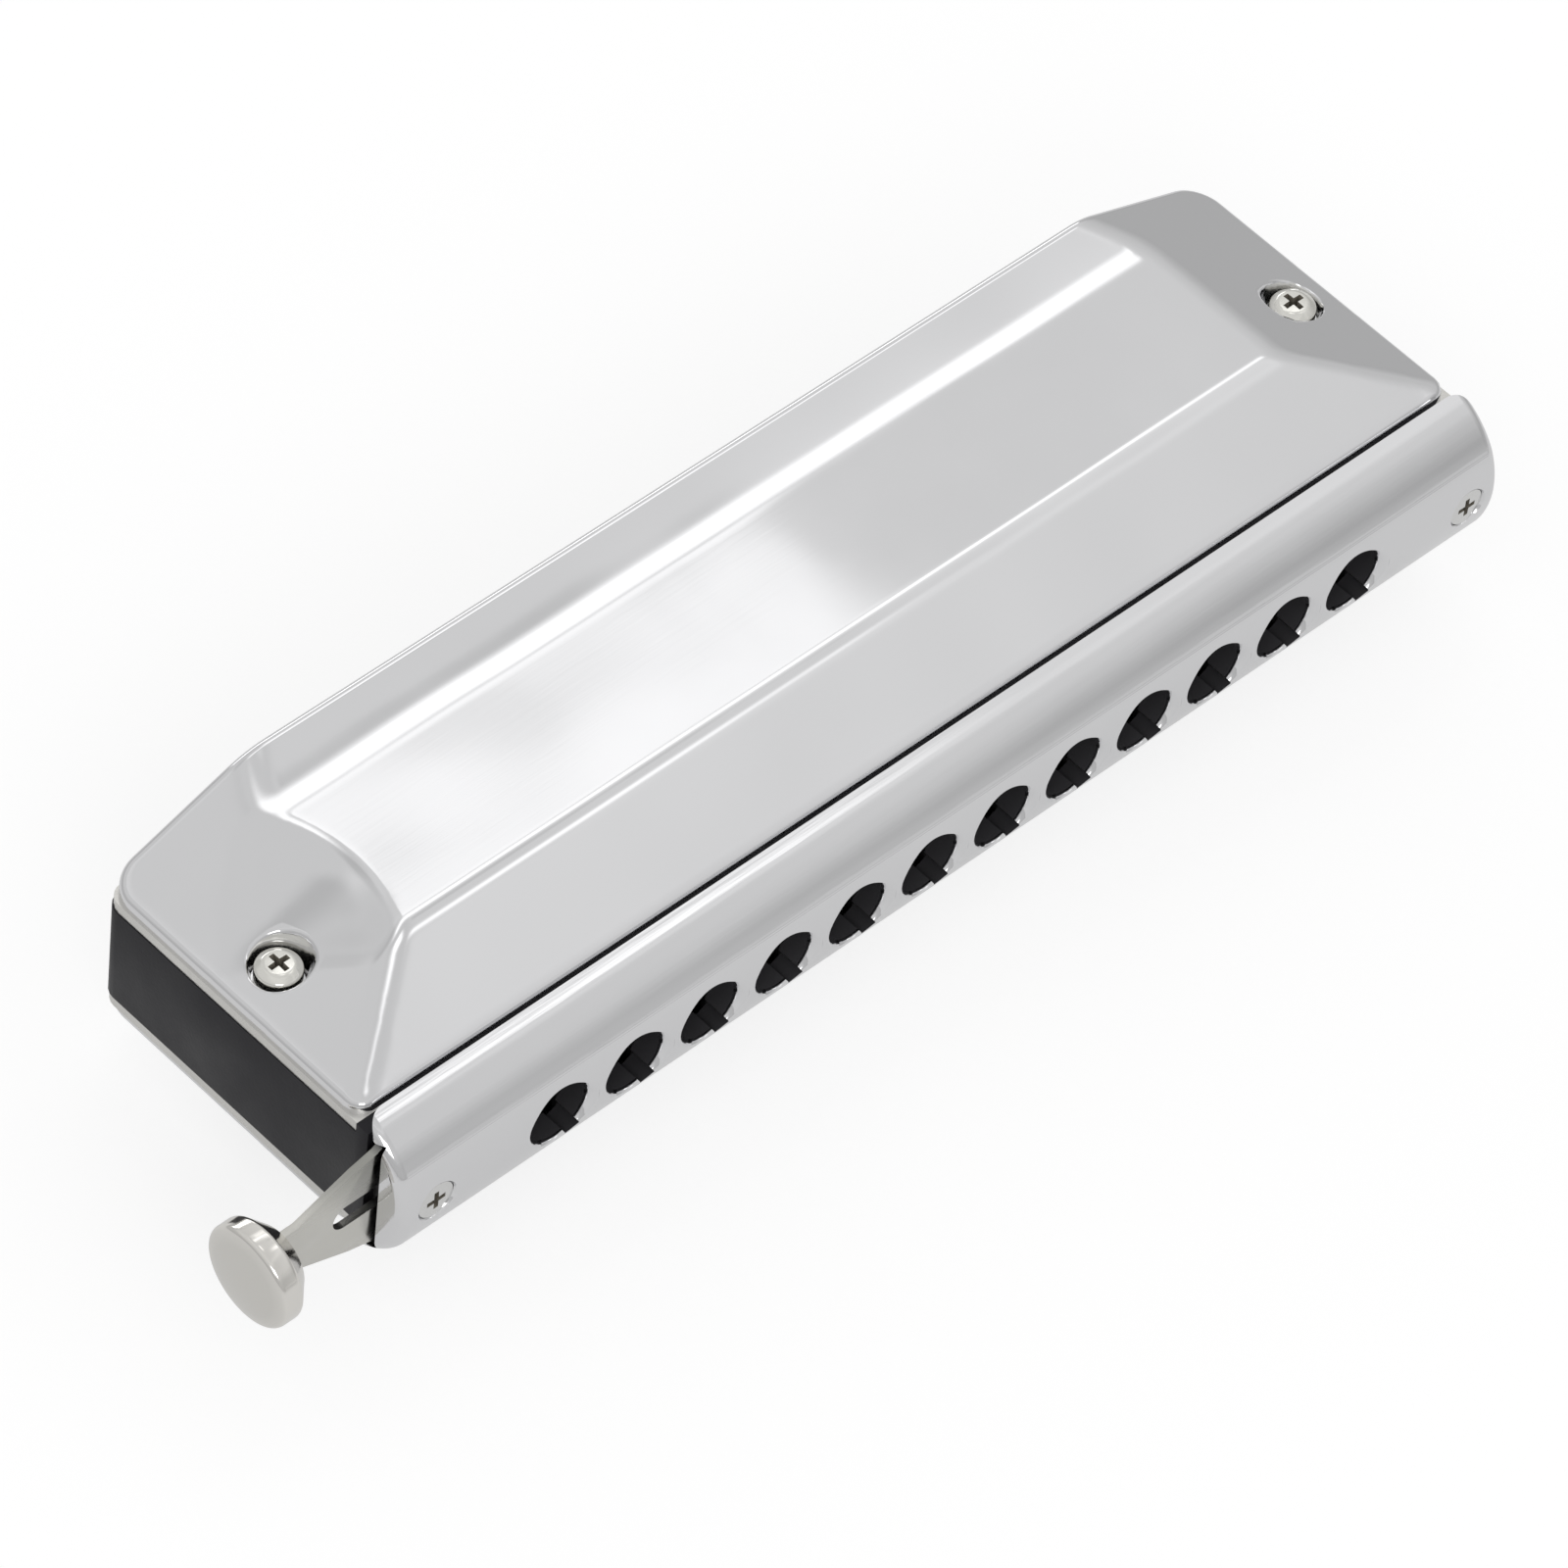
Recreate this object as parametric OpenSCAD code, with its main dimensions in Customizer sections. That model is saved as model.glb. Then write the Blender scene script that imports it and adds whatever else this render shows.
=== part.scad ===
// Chromatic harmonica with a spring-loaded slide
// Inside the modules X runs along the instrument from the button end to the low end,
// Y runs from the mouthpiece nose to the back and Z = 0 is the comb's mid plane.
// to_frame() then puts the whole at the centre of its footprint, standing on Z = 0.

/* [Layout] */
// Number of blow holes
hole_count = 12; // [10:1:14]
// Distance between neighbouring blow holes
hole_pitch = 9.2; // [9:0.1:10]
// Comb length beyond the outermost hole cell, at each end
end_margin = 14.3; // [14:0.1:18]

/* [Mouthpiece] */
// Front to back depth of the mouthpiece
mouth_depth = 6.3; // [6:0.1:7]
// Height of the mouthpiece at its back
mouth_height = 18.2; // [17.6:0.1:22]
// Radius of the nose between the two creases
nose_r = 11; // [10.5:0.5:16]
// Half height of the band between the creases
crease_z = 4.7; // [4.2:0.1:5.5]
// Radius of the shoulders above and below the creases
shoulder_r = 10; // [9.5:0.5:14]
// How far the mouthpiece stands past the comb at each end
mouth_over = 0.35; // [0:0.05:1]
// Thickness of the mouthpiece in front of the slide casing
mouth_wall = 3.4; // [3:0.1:4]
// Closed wall beyond the slide casing at the low end
mouth_end_wall = 2.05; // [1.5:0.05:2.3]
// Edge chamfer round the mouthpiece ends
mouth_chamfer = 0.4; // [0.2:0.1:1]
// Radius of the mouthpiece's back corners, seen from above
mouth_corner_r = 2.5; // [0.5:0.5:2.5]
// Diameter of a blow hole
hole_d = 6.8; // [6.6:0.1:7.4]
// Width and depth of the flare round a blow hole
hole_flare = 0.5; // [0.2:0.1:0.8]
// Width of the small notch in each hole's lower rim
notch_w = 1.6; // [1:0.1:2.2]
// Depth of that notch beyond the hole's radius
notch_depth = 0.8; // [0.4:0.1:1.2]
// Direction of the notch, below the horizontal
notch_angle = 62; // [40:1:90]

/* [Slide] */
// Thickness of the slide
slide_t = 0.8; // [0.6:0.05:1]
// Height of the slide
slide_h = 13.4; // [12.6:0.1:13.6]
// Thickness of the front casing plate
casing_t = 0.5; // [0.4:0.05:0.7]
// How far the casing stays back inside the mouthpiece's open end
casing_recess = 1.2; // [0:0.1:1.5]
// Height of the channel flange that guides the slide above and below
casing_flange = 0.5; // [0.4:0.05:0.8]
// Thickness of the plate between slide and comb
back_plate_t = 0.8; // [0.6:0.05:1]
// Running clearance of the slide on every side
run_gap = 0.05; // [0.03:0.01:0.1]
// Width of a slide window
window_w = 4.2; // [3.8:0.1:4.4]
// Height of a slide window
window_h = 4.2; // [3.6:0.1:4.6]
// Height of the handle where it leaves the mouthpiece
handle_root_h = 12.6; // [10:0.1:13]
// Height of the handle where it meets the button
handle_tip_h = 6; // [4.4:0.1:7]
// Length of the handle from the mouthpiece to the button
handle_len = 10.75; // [10:0.25:14]
// Width of the lengthwise slot in the handle
slot_w = 2.9; // [2.85:0.05:3.4]
// Distance from the mouthpiece to the slot's outer end
slot_reach = 4.8; // [4:0.1:6]

/* [Button] */
// Diameter of the button
button_d = 10.6; // [9:0.1:14]
// Thickness of the button without its dome
button_t = 3.5; // [3.2:0.1:5.5]
// Depth of the cone at the button's back
button_cone = 1.5; // [1:0.1:2]
// Height of the dome on the button's outer face
button_dome = 1.1; // [0.4:0.1:1.6]
// Rounding of the button's rim
button_round = 0.7; // [0.3:0.1:1]
// Depth of the handle's tongue in the button
tongue_depth = 2.4; // [1.6:0.1:3]
// Height of the handle's tongue in the button
tongue_h = 3.6; // [2.6:0.1:4.2]

/* [Comb] */
// Back face of the comb, from the mouthpiece nose
comb_back = 41.5; // [41:0.5:48]
// Height of the comb between the reed plates
comb_h = 12; // [11.6:0.1:14]
// Depth of the front rail, up to the reed plates
rail_depth = 1.6; // [1.4:0.1:2.4]
// Thickness of the web between upper and lower chambers
web_t = 1.2; // [0.8:0.1:2]
// Thickness of the walls between chambers
chamber_wall = 1.1; // [0.8:0.1:1.4]
// Depth of the ledge in front of the chambers that carries the reed plate
ledge = 1.2; // [0.8:0.1:2]
// Radius of the comb's back corners
comb_corner_r = 1.8; // [0.5:0.1:3]

/* [Reeds] */
// Thickness of a reed plate
plate_t = 1.2; // [0.9:0.1:1.5]
// Length of the highest reed's slot
slot_short = 10.5; // [9:0.5:12]
// Length of the lowest reed's slot
slot_long = 22; // [18:0.5:23]
// Width of a reed's tongue
reed_w = 1.9; // [1.5:0.1:2.1]
// Gap between a tongue and its slot
reed_gap = 0.1; // [0.05:0.01:0.15]
// Thickness of a reed
reed_t = 0.3; // [0.2:0.05:0.4]
// Length of the pad that holds a reed
pad_len = 3.2; // [2.8:0.1:3.6]
// Width of that pad
pad_w = 2.7; // [2.3:0.1:3]
// Diameter of a reed rivet
rivet_d = 0.9; // [0.6:0.1:1.1]
// Thickness of a wind saver
valve_t = 0.2; // [0.1:0.05:0.25]
// Width of a wind saver
valve_w = 2.7; // [2.4:0.1:3]

/* [Covers] */
// Sheet thickness of the covers
sheet_t = 0.55; // [0.4:0.05:0.7]
// Height of the upright lip above the reed plate
lip_h = 1.1; // [0.9:0.1:1.6]
// How far the cover stays back from the comb's ends
cover_inset = 0.3; // [0:0.1:1]
// Height of the flat plateau above the reed plate
plateau_h = 6.2; // [5.8:0.1:7]
// Height of the raised back rim above the plateau
rim_rise = 1.4; // [0.6:0.1:2]
// Depth of the front slope
slope_run = 10.5; // [9:0.5:12]
// Depth of the rising band behind the plateau
band_run = 6.7; // [5:0.1:8]
// Length of a sloping end
lug_run = 17.1; // [16:0.1:19]
// How far the cover stands past the comb's back
cover_over = 0.5; // [0:0.1:1.5]
// Radius of the lip's fold
fold_r = 0.9; // [0.6:0.1:1.2]
// Radius of the folds along the plateau
crest_r = 5; // [3:0.5:7]
// Radius of the cover's front corners
front_corner_r = 2; // [1:0.1:3]
// Radius of the cover's back corners
back_corner_r = 3.5; // [2:0.1:5]
// Radius of the thumb hollow pressed into the button end
hollow_r = 16.9; // [15:0.1:18]
// How far the hollow reaches into the plateau
hollow_bite = 2.3; // [1:0.1:2.6]
// Height of the flange that the back edge is turned down by
flange_h = 1.4; // [1:0.1:2.4]
// Distance from the cover's end to the end of the back opening
opening_end = 9; // [7:0.5:14]

/* [Fasteners] */
// Distance of the mouthpiece screws from the comb's ends
mouth_screw_inset = 3.8; // [3.6:0.1:4]
// Distance of the cover screws from the comb's ends
cover_screw_inset = 5.3; // [5:0.1:6]
// Place of the cover screws, from the mouthpiece nose
cover_screw_y = 23.8; // [20:0.1:28]
// Diameter of the screws' shanks
screw_d = 2; // [1.8:0.1:2.2]
// Head diameter of the mouthpiece screws
mouth_head_d = 4.1; // [3.6:0.1:4.6]
// Length of the mouthpiece screws
mouth_screw_len = 11; // [10:0.5:13]
// Head diameter of the cover screws
cover_head_d = 4.6; // [4:0.1:5]
// Head height of the cover screws
cover_head_h = 2; // [1.5:0.1:2.4]
// Length of the cover screws' shanks
cover_screw_len = 5; // [4:0.1:5.2]
// Diameter of the dish round a cover screw, at its top
dish_d = 7.3; // [6.6:0.1:8]
// Diameter of the threaded inserts
insert_d = 3.6; // [3:0.1:3.8]
// Length of the threaded inserts behind the mouthpiece screws
mouth_insert_len = 7; // [5:0.5:9]
// Length of the threaded inserts below the cover screws
cover_insert_len = 4.2; // [3.4:0.1:4.6]
// Head diameter of the reed plate screws
plate_head_d = 2.4; // [2:0.1:2.8]
// Shank diameter of the reed plate screws
plate_screw_d = 1.2; // [0.8:0.1:1.4]
// Shank length of the reed plate screws
plate_screw_len = 4; // [3:0.1:4.4]
// Wall of the soft sleeves that stop the slide
bumper_wall = 0.4; // [0.3:0.05:0.4]

/* [Spring] */
// Distance of the spring's pin from the last hole cell
pin_inset = 4.4; // [4.2:0.1:4.8]
// Place of the spring's pin, from the mouthpiece nose
pin_y = 13.5; // [12.5:0.1:15]
// Diameter of the spring's pin
pin_d = 2.4; // [2:0.1:2.4]
// Diameter of the spring wire
wire_d = 0.5; // [0.4:0.05:0.6]
// Radius of the spring's coil, at the middle of the wire
coil_r = 1.65; // [1.6:0.05:1.8]
// Rise of one turn of the coil
coil_pitch = 0.95; // [0.9:0.05:1]
// How far the moving leg's tip lies from the pin at rest
leg_lean = 2.7; // [2.4:0.1:2.9]

/* [Hidden] */
$fn = 48;
eps = 0.01;
big = 400;

// Lengthwise layout
cells_half = hole_count * hole_pitch / 2;
body_half = cells_half + end_margin;
mouth_half = body_half + mouth_over;
reed_pitch = hole_pitch / 2;
reed_count = 2 * hole_count;
travel = hole_pitch / 2;

// Front to back layout of the slide's stack
casing_y = mouth_wall;
slide_y = casing_y + casing_t + run_gap;
back_plate_y = slide_y + slide_t + run_gap;
comb_front = back_plate_y + back_plate_t;
plate_front = comb_front + rail_depth;
channel_half = slide_h / 2 + run_gap;
stack_half = channel_half + casing_flange;
casing_end = mouth_half - mouth_end_wall;
casing_start = casing_recess - body_half;
seat_gap = 0.05;

// Heights
plate_z = comb_h / 2;
plate_top = plate_z + plate_t;
lip_top = plate_top + lip_h;
plateau_z = plate_top + plateau_h;
rim_z = plateau_z + rim_rise;

// Cover plan
cover_half = body_half - cover_inset;
cover_front = plate_front + 0.1;
cover_back = comb_back + cover_over;
slope_end = cover_front + slope_run;
band_start = cover_back - band_run;
lug_slope = (rim_z - lip_top) / lug_run;
lug_edge = cover_half - (plateau_z - lip_top) / lug_slope;
hollow_y = (slope_end + band_start) / 2;
hollow_x = lug_edge - hollow_bite + hollow_r;

// Screws
mouth_screw_x = body_half - mouth_screw_inset;
cover_screw_x = body_half - cover_screw_inset;
bumper_r = screw_d / 2 + bumper_wall;
mouth_head_y = 0.3;
plate_screw_back = comb_back - 1.6;
plate_screw_end = body_half - 8.5;

// Slide, in its rest place
slide_end = mouth_screw_x - bumper_r - travel - run_gap;
slot_in = -mouth_screw_x + bumper_r + run_gap;
handle_root_x = -mouth_half;
handle_tip_x = handle_root_x - handle_len;
slot_out = handle_root_x - slot_reach;
window_z = web_t / 2 + window_h / 2;
button_out = handle_tip_x - button_t - button_dome;

// Chambers and reeds
chamber_y = plate_front + ledge;
chamber_w = reed_pitch - chamber_wall;
slot_y = chamber_y + pad_len + 0.6;
pad_clear = 0.4;
slot_wide = reed_w + 2 * reed_gap;

// Spring
pin_x = cells_half + pin_inset;
leg_tip_x = pin_x - leg_lean;
leg_z = 1.2;
spring_turns = 2.5;
pocket_half = 2;
pocket_near = cells_half + 0.7;
pocket_far = cells_half + 7.4;
pocket_back = pin_y + coil_r + wire_d + 1.2;

// Centre of the footprint and height of the covers' back rims once their folds are rounded
mid_x = (button_out + mouth_half) / 2;
mid_y = (min(0, slide_y + slide_t / 2 - button_d / 2) + cover_back) / 2;
rim_top = max([for (p = cover_side(0)) p.y]);

module to_frame() {
    translate([-mid_x, -mid_y, rim_top])
        children();
}

module both_ends() {
    children();
    mirror([1, 0, 0])
        children();
}

module below() {
    mirror([0, 0, 1])
        children();
}

module both_sides() {
    children();
    below()
        children();
}

// Sideways cylinder along Y, from y0 to y1
module bar_y(x, z, y0, y1, r, r2 = -1) {
    translate([x, y0, z])
        rotate([-90, 0, 0])
            cylinder(h = y1 - y0, r1 = r, r2 = r2 < 0 ? r : r2);
}

// Outline in X and Z, given a thickness along Y
module slab_y(y0, y1) {
    translate([0, y1, 0])
        rotate([90, 0, 0])
            linear_extrude(y1 - y0)
                children();
}

// Outline in Y and Z, given a length along X
module slab_x(x0, x1) {
    translate([x0, 0, 0])
        rotate([90, 0, 90])
            linear_extrude(x1 - x0)
                children();
}

function unit(v) = v / norm(v);

// Points of a rounded corner at b, between a and c
function corner(a, b, c, r, n) =
    let (u = unit(a - b), v = unit(c - b), half = acos(u * v) / 2)
    let (reach = min(r / tan(half), 0.45 * norm(a - b), 0.45 * norm(c - b)))
    let (rr = reach * tan(half), o = b + unit(u + v) * rr / sin(half))
    let (p = b + u * reach - o, q = b + v * reach - o)
    let (a1 = atan2(p.y, p.x), turn = (atan2(q.y, q.x) - a1 + 540) % 360 - 180)
    [for (i = [0 : n]) o + rr * [cos(a1 + turn * i / n), sin(a1 + turn * i / n)]];

// Outline with each corner rounded by its own radius
function rounded(p, r, n = 5) =
    let (m = len(p))
    [for (i = [0 : m - 1])
        each r[i] > 0 ? corner(p[(i + m - 1) % m], p[i], p[(i + 1) % m], r[i], n) : [p[i]]];

// Centres and lengths of the reed cells, lowest note last
function cell_x(i) = -cells_half + (i + 0.5) * reed_pitch;
function slot_len(i) = slot_short + (slot_long - slot_short) * i / (reed_count - 1);
function chamber_end(i) = slot_y + slot_len(i) + pad_len + 0.6;
function hole_x(i) = -cells_half + (i + 0.5) * hole_pitch;
function draw_cells() = [1 : 2 : reed_count - 1];
function blow_cells() = [0 : 2 : reed_count - 2];

// Comb and what it carries

module comb_outline() {
    polygon(rounded([[-body_half, comb_front], [body_half, comb_front],
                     [body_half, comb_back], [-body_half, comb_back]],
                    [0, 0, comb_corner_r, comb_corner_r]));
}

module chamber(i) {
    x = cell_x(i) - chamber_w / 2;
    translate([x, comb_front - eps, web_t / 2])
        cube([chamber_w, chamber_y - comb_front + 2 * eps, window_h]);
    translate([x, chamber_y, web_t / 2])
        cube([chamber_w, chamber_end(i) - chamber_y, plate_z]);
}

module spring_pocket() {
    translate([pocket_near, comb_front - eps, -pocket_half])
        cube([pocket_far - pocket_near, pocket_back - comb_front, 2 * pocket_half]);
    translate([pin_x, pin_y, -pocket_half - 1.5])
        cylinder(h = plate_z + pocket_half + 1.5 + eps, r = pin_d / 2);
}

module plate_screw_places() {
    for (x = [-0.66, 0, 0.66])
        translate([x * body_half, plate_screw_back, 0])
            children();
    both_ends()
        translate([plate_screw_end, plate_screw_back - 4, 0])
            children();
    both_ends()
        translate([plate_screw_end, chamber_y + 1.4, 0])
            children();
}

module cover_screw_places() {
    both_ends()
        translate([cover_screw_x, cover_screw_y, 0])
            children();
}

module comb() {
    color([0.1, 0.1, 0.11]) to_frame()
        difference() {
            union() {
                translate([0, 0, -plate_z])
                    linear_extrude(comb_h)
                        comb_outline();
                translate([-body_half, comb_front, -plate_top])
                    cube([2 * body_half, rail_depth, 2 * plate_top]);
            }
            both_sides()
                for (i = [0 : reed_count - 1])
                    chamber(i);
            both_ends()
                bar_y(mouth_screw_x, 0, comb_front - eps, comb_front + mouth_insert_len + 2, insert_d / 2);
            both_sides()
                cover_screw_places()
                    translate([0, 0, plate_z - cover_insert_len - 0.6])
                        cylinder(h = cover_insert_len + 1, r = insert_d / 2);
            both_sides()
                plate_screw_places()
                    translate([0, 0, plate_top - plate_screw_len])
                        cylinder(h = plate_screw_len, r = plate_screw_d / 2);
            spring_pocket();
        }
}

module spring_pin() {
    color([0.78, 0.78, 0.76]) to_frame()
        translate([pin_x, pin_y, -pocket_half - 1.5])
            cylinder(h = plate_z + pocket_half + 1.5, r = pin_d / 2);
}

module cover_inserts() {
    color([0.85, 0.68, 0.32]) to_frame()
        both_sides()
            cover_screw_places()
                translate([0, 0, plate_z - cover_insert_len])
                    difference() {
                        cylinder(h = cover_insert_len, r = insert_d / 2);
                        translate([0, 0, -eps])
                            cylinder(h = cover_insert_len + 2 * eps, r = screw_d / 2);
                    }
}

module mouthpiece_inserts() {
    color([0.85, 0.68, 0.32]) to_frame()
        both_ends()
            difference() {
                bar_y(mouth_screw_x, 0, comb_front, comb_front + mouth_insert_len, insert_d / 2);
                bar_y(mouth_screw_x, 0, comb_front - eps, comb_front + mouth_insert_len + eps, screw_d / 2);
            }
}

// Reed plates, reeds, rivets and wind savers, drawn for the upper side

module reed_plate_form() {
    difference() {
        translate([0, 0, plate_z])
            linear_extrude(plate_t)
                polygon(rounded([[-body_half + 0.1, plate_front], [body_half - 0.1, plate_front],
                                 [body_half - 0.1, comb_back - 0.1], [-body_half + 0.1, comb_back - 0.1]],
                                [0, 0, comb_corner_r, comb_corner_r]));
        for (i = [0 : reed_count - 1])
            translate([cell_x(i) - slot_wide / 2, slot_y, plate_z - eps])
                cube([slot_wide, slot_len(i), plate_t + 2 * eps]);
        for (i = [0 : reed_count - 1])
            translate([cell_x(i), rivet_y(i), plate_z - eps])
                cylinder(h = plate_t + 2 * eps, r = rivet_d / 2, $fn = 24);
        cover_screw_places()
            translate([0, 0, plate_z - eps])
                cylinder(h = plate_t + 2 * eps, r = screw_d / 2);
        plate_screw_places()
            translate([0, 0, plate_z - eps])
                cylinder(h = plate_t + 2 * eps, r = plate_screw_d / 2, $fn = 24);
    }
}

// Draw reeds are riveted in front of their slots, blow reeds behind them
function is_draw(i) = i % 2 == 1;
function rivet_y(i) = is_draw(i) ? slot_y - pad_len * 0.6 : slot_y + slot_len(i) + pad_len * 0.6;

// One reed with its pad at the origin's negative Y side and its tongue along +Y
module reed_shape(length) {
    tip = length - reed_gap;
    difference() {
        linear_extrude(reed_t)
            polygon([[-pad_w / 2, -pad_len], [pad_w / 2, -pad_len], [pad_w / 2, -0.3],
                     [reed_w / 2, 0.2], [reed_w / 2, tip], [-reed_w / 2, tip],
                     [-reed_w / 2, 0.2], [-pad_w / 2, -0.3]]);
        translate([0, -pad_len * 0.6, -eps])
            cylinder(h = reed_t + 2 * eps, r = rivet_d / 2, $fn = 24);
    }
}

module draw_reeds_form() {
    for (i = draw_cells())
        translate([cell_x(i), slot_y, plate_top])
            reed_shape(slot_len(i));
}

module blow_reeds_form() {
    for (i = blow_cells())
        translate([cell_x(i), slot_y + slot_len(i), plate_z - reed_t])
            mirror([0, 1, 0])
                reed_shape(slot_len(i));
}

module rivets_form() {
    head_h = 0.35;
    for (i = [0 : reed_count - 1])
        translate([cell_x(i), rivet_y(i), 0]) {
            low = is_draw(i) ? plate_z : plate_z - reed_t;
            high = is_draw(i) ? plate_top + reed_t : plate_top;
            translate([0, 0, low - head_h])
                cylinder(h = head_h, r = rivet_d * 0.85, $fn = 24);
            translate([0, 0, low])
                cylinder(h = high - low, r = rivet_d / 2, $fn = 24);
            translate([0, 0, high])
                cylinder(h = head_h, r1 = rivet_d * 0.85, r2 = rivet_d * 0.5, $fn = 24);
        }
}

// A wind saver covers its slot from outside over a blow reed, from inside under a draw reed
module valve_shape(length) {
    translate([-valve_w / 2, -0.8, 0])
        cube([valve_w, length + 1.4, valve_t]);
}

module outer_valves_form() {
    for (i = blow_cells())
        translate([cell_x(i), slot_y + slot_len(i), plate_top])
            mirror([0, 1, 0])
                valve_shape(slot_len(i));
}

module inner_valves_form() {
    for (i = draw_cells())
        translate([cell_x(i), slot_y, plate_z - valve_t])
            valve_shape(slot_len(i));
}

module plate_screws_form() {
    plate_screw_places() {
        translate([0, 0, plate_top - plate_screw_len])
            cylinder(h = plate_screw_len, r = plate_screw_d / 2, $fn = 24);
        translate([0, 0, plate_top])
            cylinder(h = 0.6, r1 = plate_head_d / 2, r2 = plate_head_d / 2 - 0.3, $fn = 24);
    }
}

module reed_plate_upper() {
    color([0.82, 0.8, 0.72]) to_frame() reed_plate_form();
}

module reed_plate_lower() {
    color([0.82, 0.8, 0.72]) to_frame() below() reed_plate_form();
}

module blow_reeds_upper() {
    color([0.8, 0.65, 0.35]) to_frame() blow_reeds_form();
}

module blow_reeds_lower() {
    color([0.8, 0.65, 0.35]) to_frame() below() blow_reeds_form();
}

module draw_reeds_upper() {
    color([0.8, 0.65, 0.35]) to_frame() draw_reeds_form();
}

module draw_reeds_lower() {
    color([0.8, 0.65, 0.35]) to_frame() below() draw_reeds_form();
}

module reed_rivets_upper() {
    color([0.85, 0.72, 0.42]) to_frame() rivets_form();
}

module reed_rivets_lower() {
    color([0.85, 0.72, 0.42]) to_frame() below() rivets_form();
}

module outer_valves_upper() {
    color([0.9, 0.9, 0.86]) to_frame() outer_valves_form();
}

module outer_valves_lower() {
    color([0.9, 0.9, 0.86]) to_frame() below() outer_valves_form();
}

module inner_valves_upper() {
    color([0.9, 0.9, 0.86]) to_frame() inner_valves_form();
}

module inner_valves_lower() {
    color([0.9, 0.9, 0.86]) to_frame() below() inner_valves_form();
}

module plate_screws_upper() {
    color([0.7, 0.7, 0.68]) to_frame() plate_screws_form();
}

module plate_screws_lower() {
    color([0.7, 0.7, 0.68]) to_frame() below() plate_screws_form();
}

// Covers, drawn for the upper side

// Side view of a cover, drawn in by t
function cover_side(t) =
    rounded([[cover_front + t, 0], [cover_front + t, lip_top - 0.3 * t],
             [slope_end, plateau_z - t], [band_start, plateau_z - t],
             [cover_back - t, rim_z - t], [cover_back - t, 0]],
            [0, fold_r, crest_r, 2 * crest_r, fold_r, 0]);

// End view of a cover, drawn in by t
function cover_end(t) =
    let (x = cover_half - t, bend = cover_half - lug_run)
    rounded([[-x, 0], [-x, lip_top - 0.3 * t], [-bend, rim_z - t],
             [bend, rim_z - t], [x, lip_top - 0.3 * t], [x, 0]],
            [0, fold_r, crest_r, crest_r, fold_r, 0]);

// Plan of a cover, drawn in by t
function cover_plan(t) =
    let (x = cover_half - t)
    rounded([[-x, cover_front + t], [x, cover_front + t], [x, cover_back - t], [-x, cover_back - t]],
            [front_corner_r - t, front_corner_r - t, back_corner_r - t, back_corner_r - t]);

// The shallow thumb hollow by the button: a wide cone that turns up steeply at its rim
module end_hollow(t) {
    rim_r = hollow_r + t;
    foot_r = rim_r - 2.6;
    foot_z = plateau_z - 1.05 - t;
    apex_z = lip_top + 0.15 - t;
    translate([hollow_x, hollow_y, 0])
        rotate_extrude($fn = 96)
            polygon([[0, apex_z], [foot_r - 1, foot_z - (foot_z - apex_z) / foot_r],
                     [foot_r, foot_z + 0.03], [foot_r + 1, foot_z + 0.36], [foot_r + 1.9, foot_z + 0.74],
                     [rim_r, plateau_z - t], [rim_r + 0.5, plateau_z + 0.22 - t],
                     [rim_r + 0.5, rim_z + 2], [0, rim_z + 2]]);
}

module cover_solid(t, base) {
    difference() {
        intersection() {
            translate([0, 0, base])
                linear_extrude(rim_z)
                    polygon(cover_plan(t));
            slab_x(-body_half, body_half)
                polygon(cover_side(t));
            slab_y(0, comb_back + 5)
                polygon(cover_end(t));
        }
        mirror([1, 0, 0])
            end_hollow(t);
    }
}

module dish(grow, low) {
    top = plate_top + 6;
    spread = (dish_d - cover_head_d) / 2 - 0.4;
    cover_screw_places()
        translate([0, 0, low])
            cylinder(h = top - low, r1 = cover_head_d / 2 + 0.4 + grow,
                     r2 = cover_head_d / 2 + 0.4 + grow + spread * 2);
}

// Opening under the back rim, where the sound leaves
module back_opening() {
    x = cover_half - opening_end;
    bend = cover_half - lug_run;
    z = lip_top + opening_end * lug_slope - flange_h;
    slab_y(cover_back - 2 * sheet_t - fold_r, cover_back + 1)
        polygon([[-x, plate_top - 1], [x, plate_top - 1], [x, z],
                 [bend, rim_z - flange_h], [-bend, rim_z - flange_h], [-x, z]]);
}

module cover_form() {
    difference() {
        union() {
            difference() {
                cover_solid(0, plate_top);
                cover_solid(sheet_t, plate_top - 1);
            }
            intersection() {
                cover_solid(0, plate_top);
                dish(sheet_t, plate_top);
            }
        }
        dish(0, plate_top + sheet_t);
        cover_screw_places()
            translate([0, 0, plate_top - 1])
                cylinder(h = 3, r = screw_d / 2 + 0.1);
        back_opening();
    }
}

module cover_screws_form() {
    seat = plate_top + sheet_t;
    cover_screw_places()
        difference() {
            union() {
                translate([0, 0, seat - cover_screw_len])
                    cylinder(h = cover_screw_len, r = screw_d / 2);
                translate([0, 0, seat])
                    cylinder(h = cover_head_h * 0.5, r = cover_head_d / 2);
                translate([0, 0, seat + cover_head_h * 0.5])
                    cylinder(h = cover_head_h * 0.5, r1 = cover_head_d / 2, r2 = cover_head_d / 2 - 0.7);
            }
            cross_recess(seat + cover_head_h, cover_head_d * 0.5, 1.1);
        }
}

// Cross recess sunk into a screw head from above
module cross_recess(top, span, depth) {
    for (a = [0, 90])
        rotate([0, 0, a])
            translate([-span / 2, -0.25, top - depth])
                cube([span, 0.5, depth + 1]);
}

module cover_upper() {
    color([0.82, 0.83, 0.84]) to_frame() cover_form();
}

module cover_lower() {
    color([0.82, 0.83, 0.84]) to_frame() below() cover_form();
}

module cover_screws_upper() {
    color([0.76, 0.75, 0.72]) to_frame() cover_screws_form();
}

module cover_screws_lower() {
    color([0.76, 0.75, 0.72]) to_frame() below() cover_screws_form();
}

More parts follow.
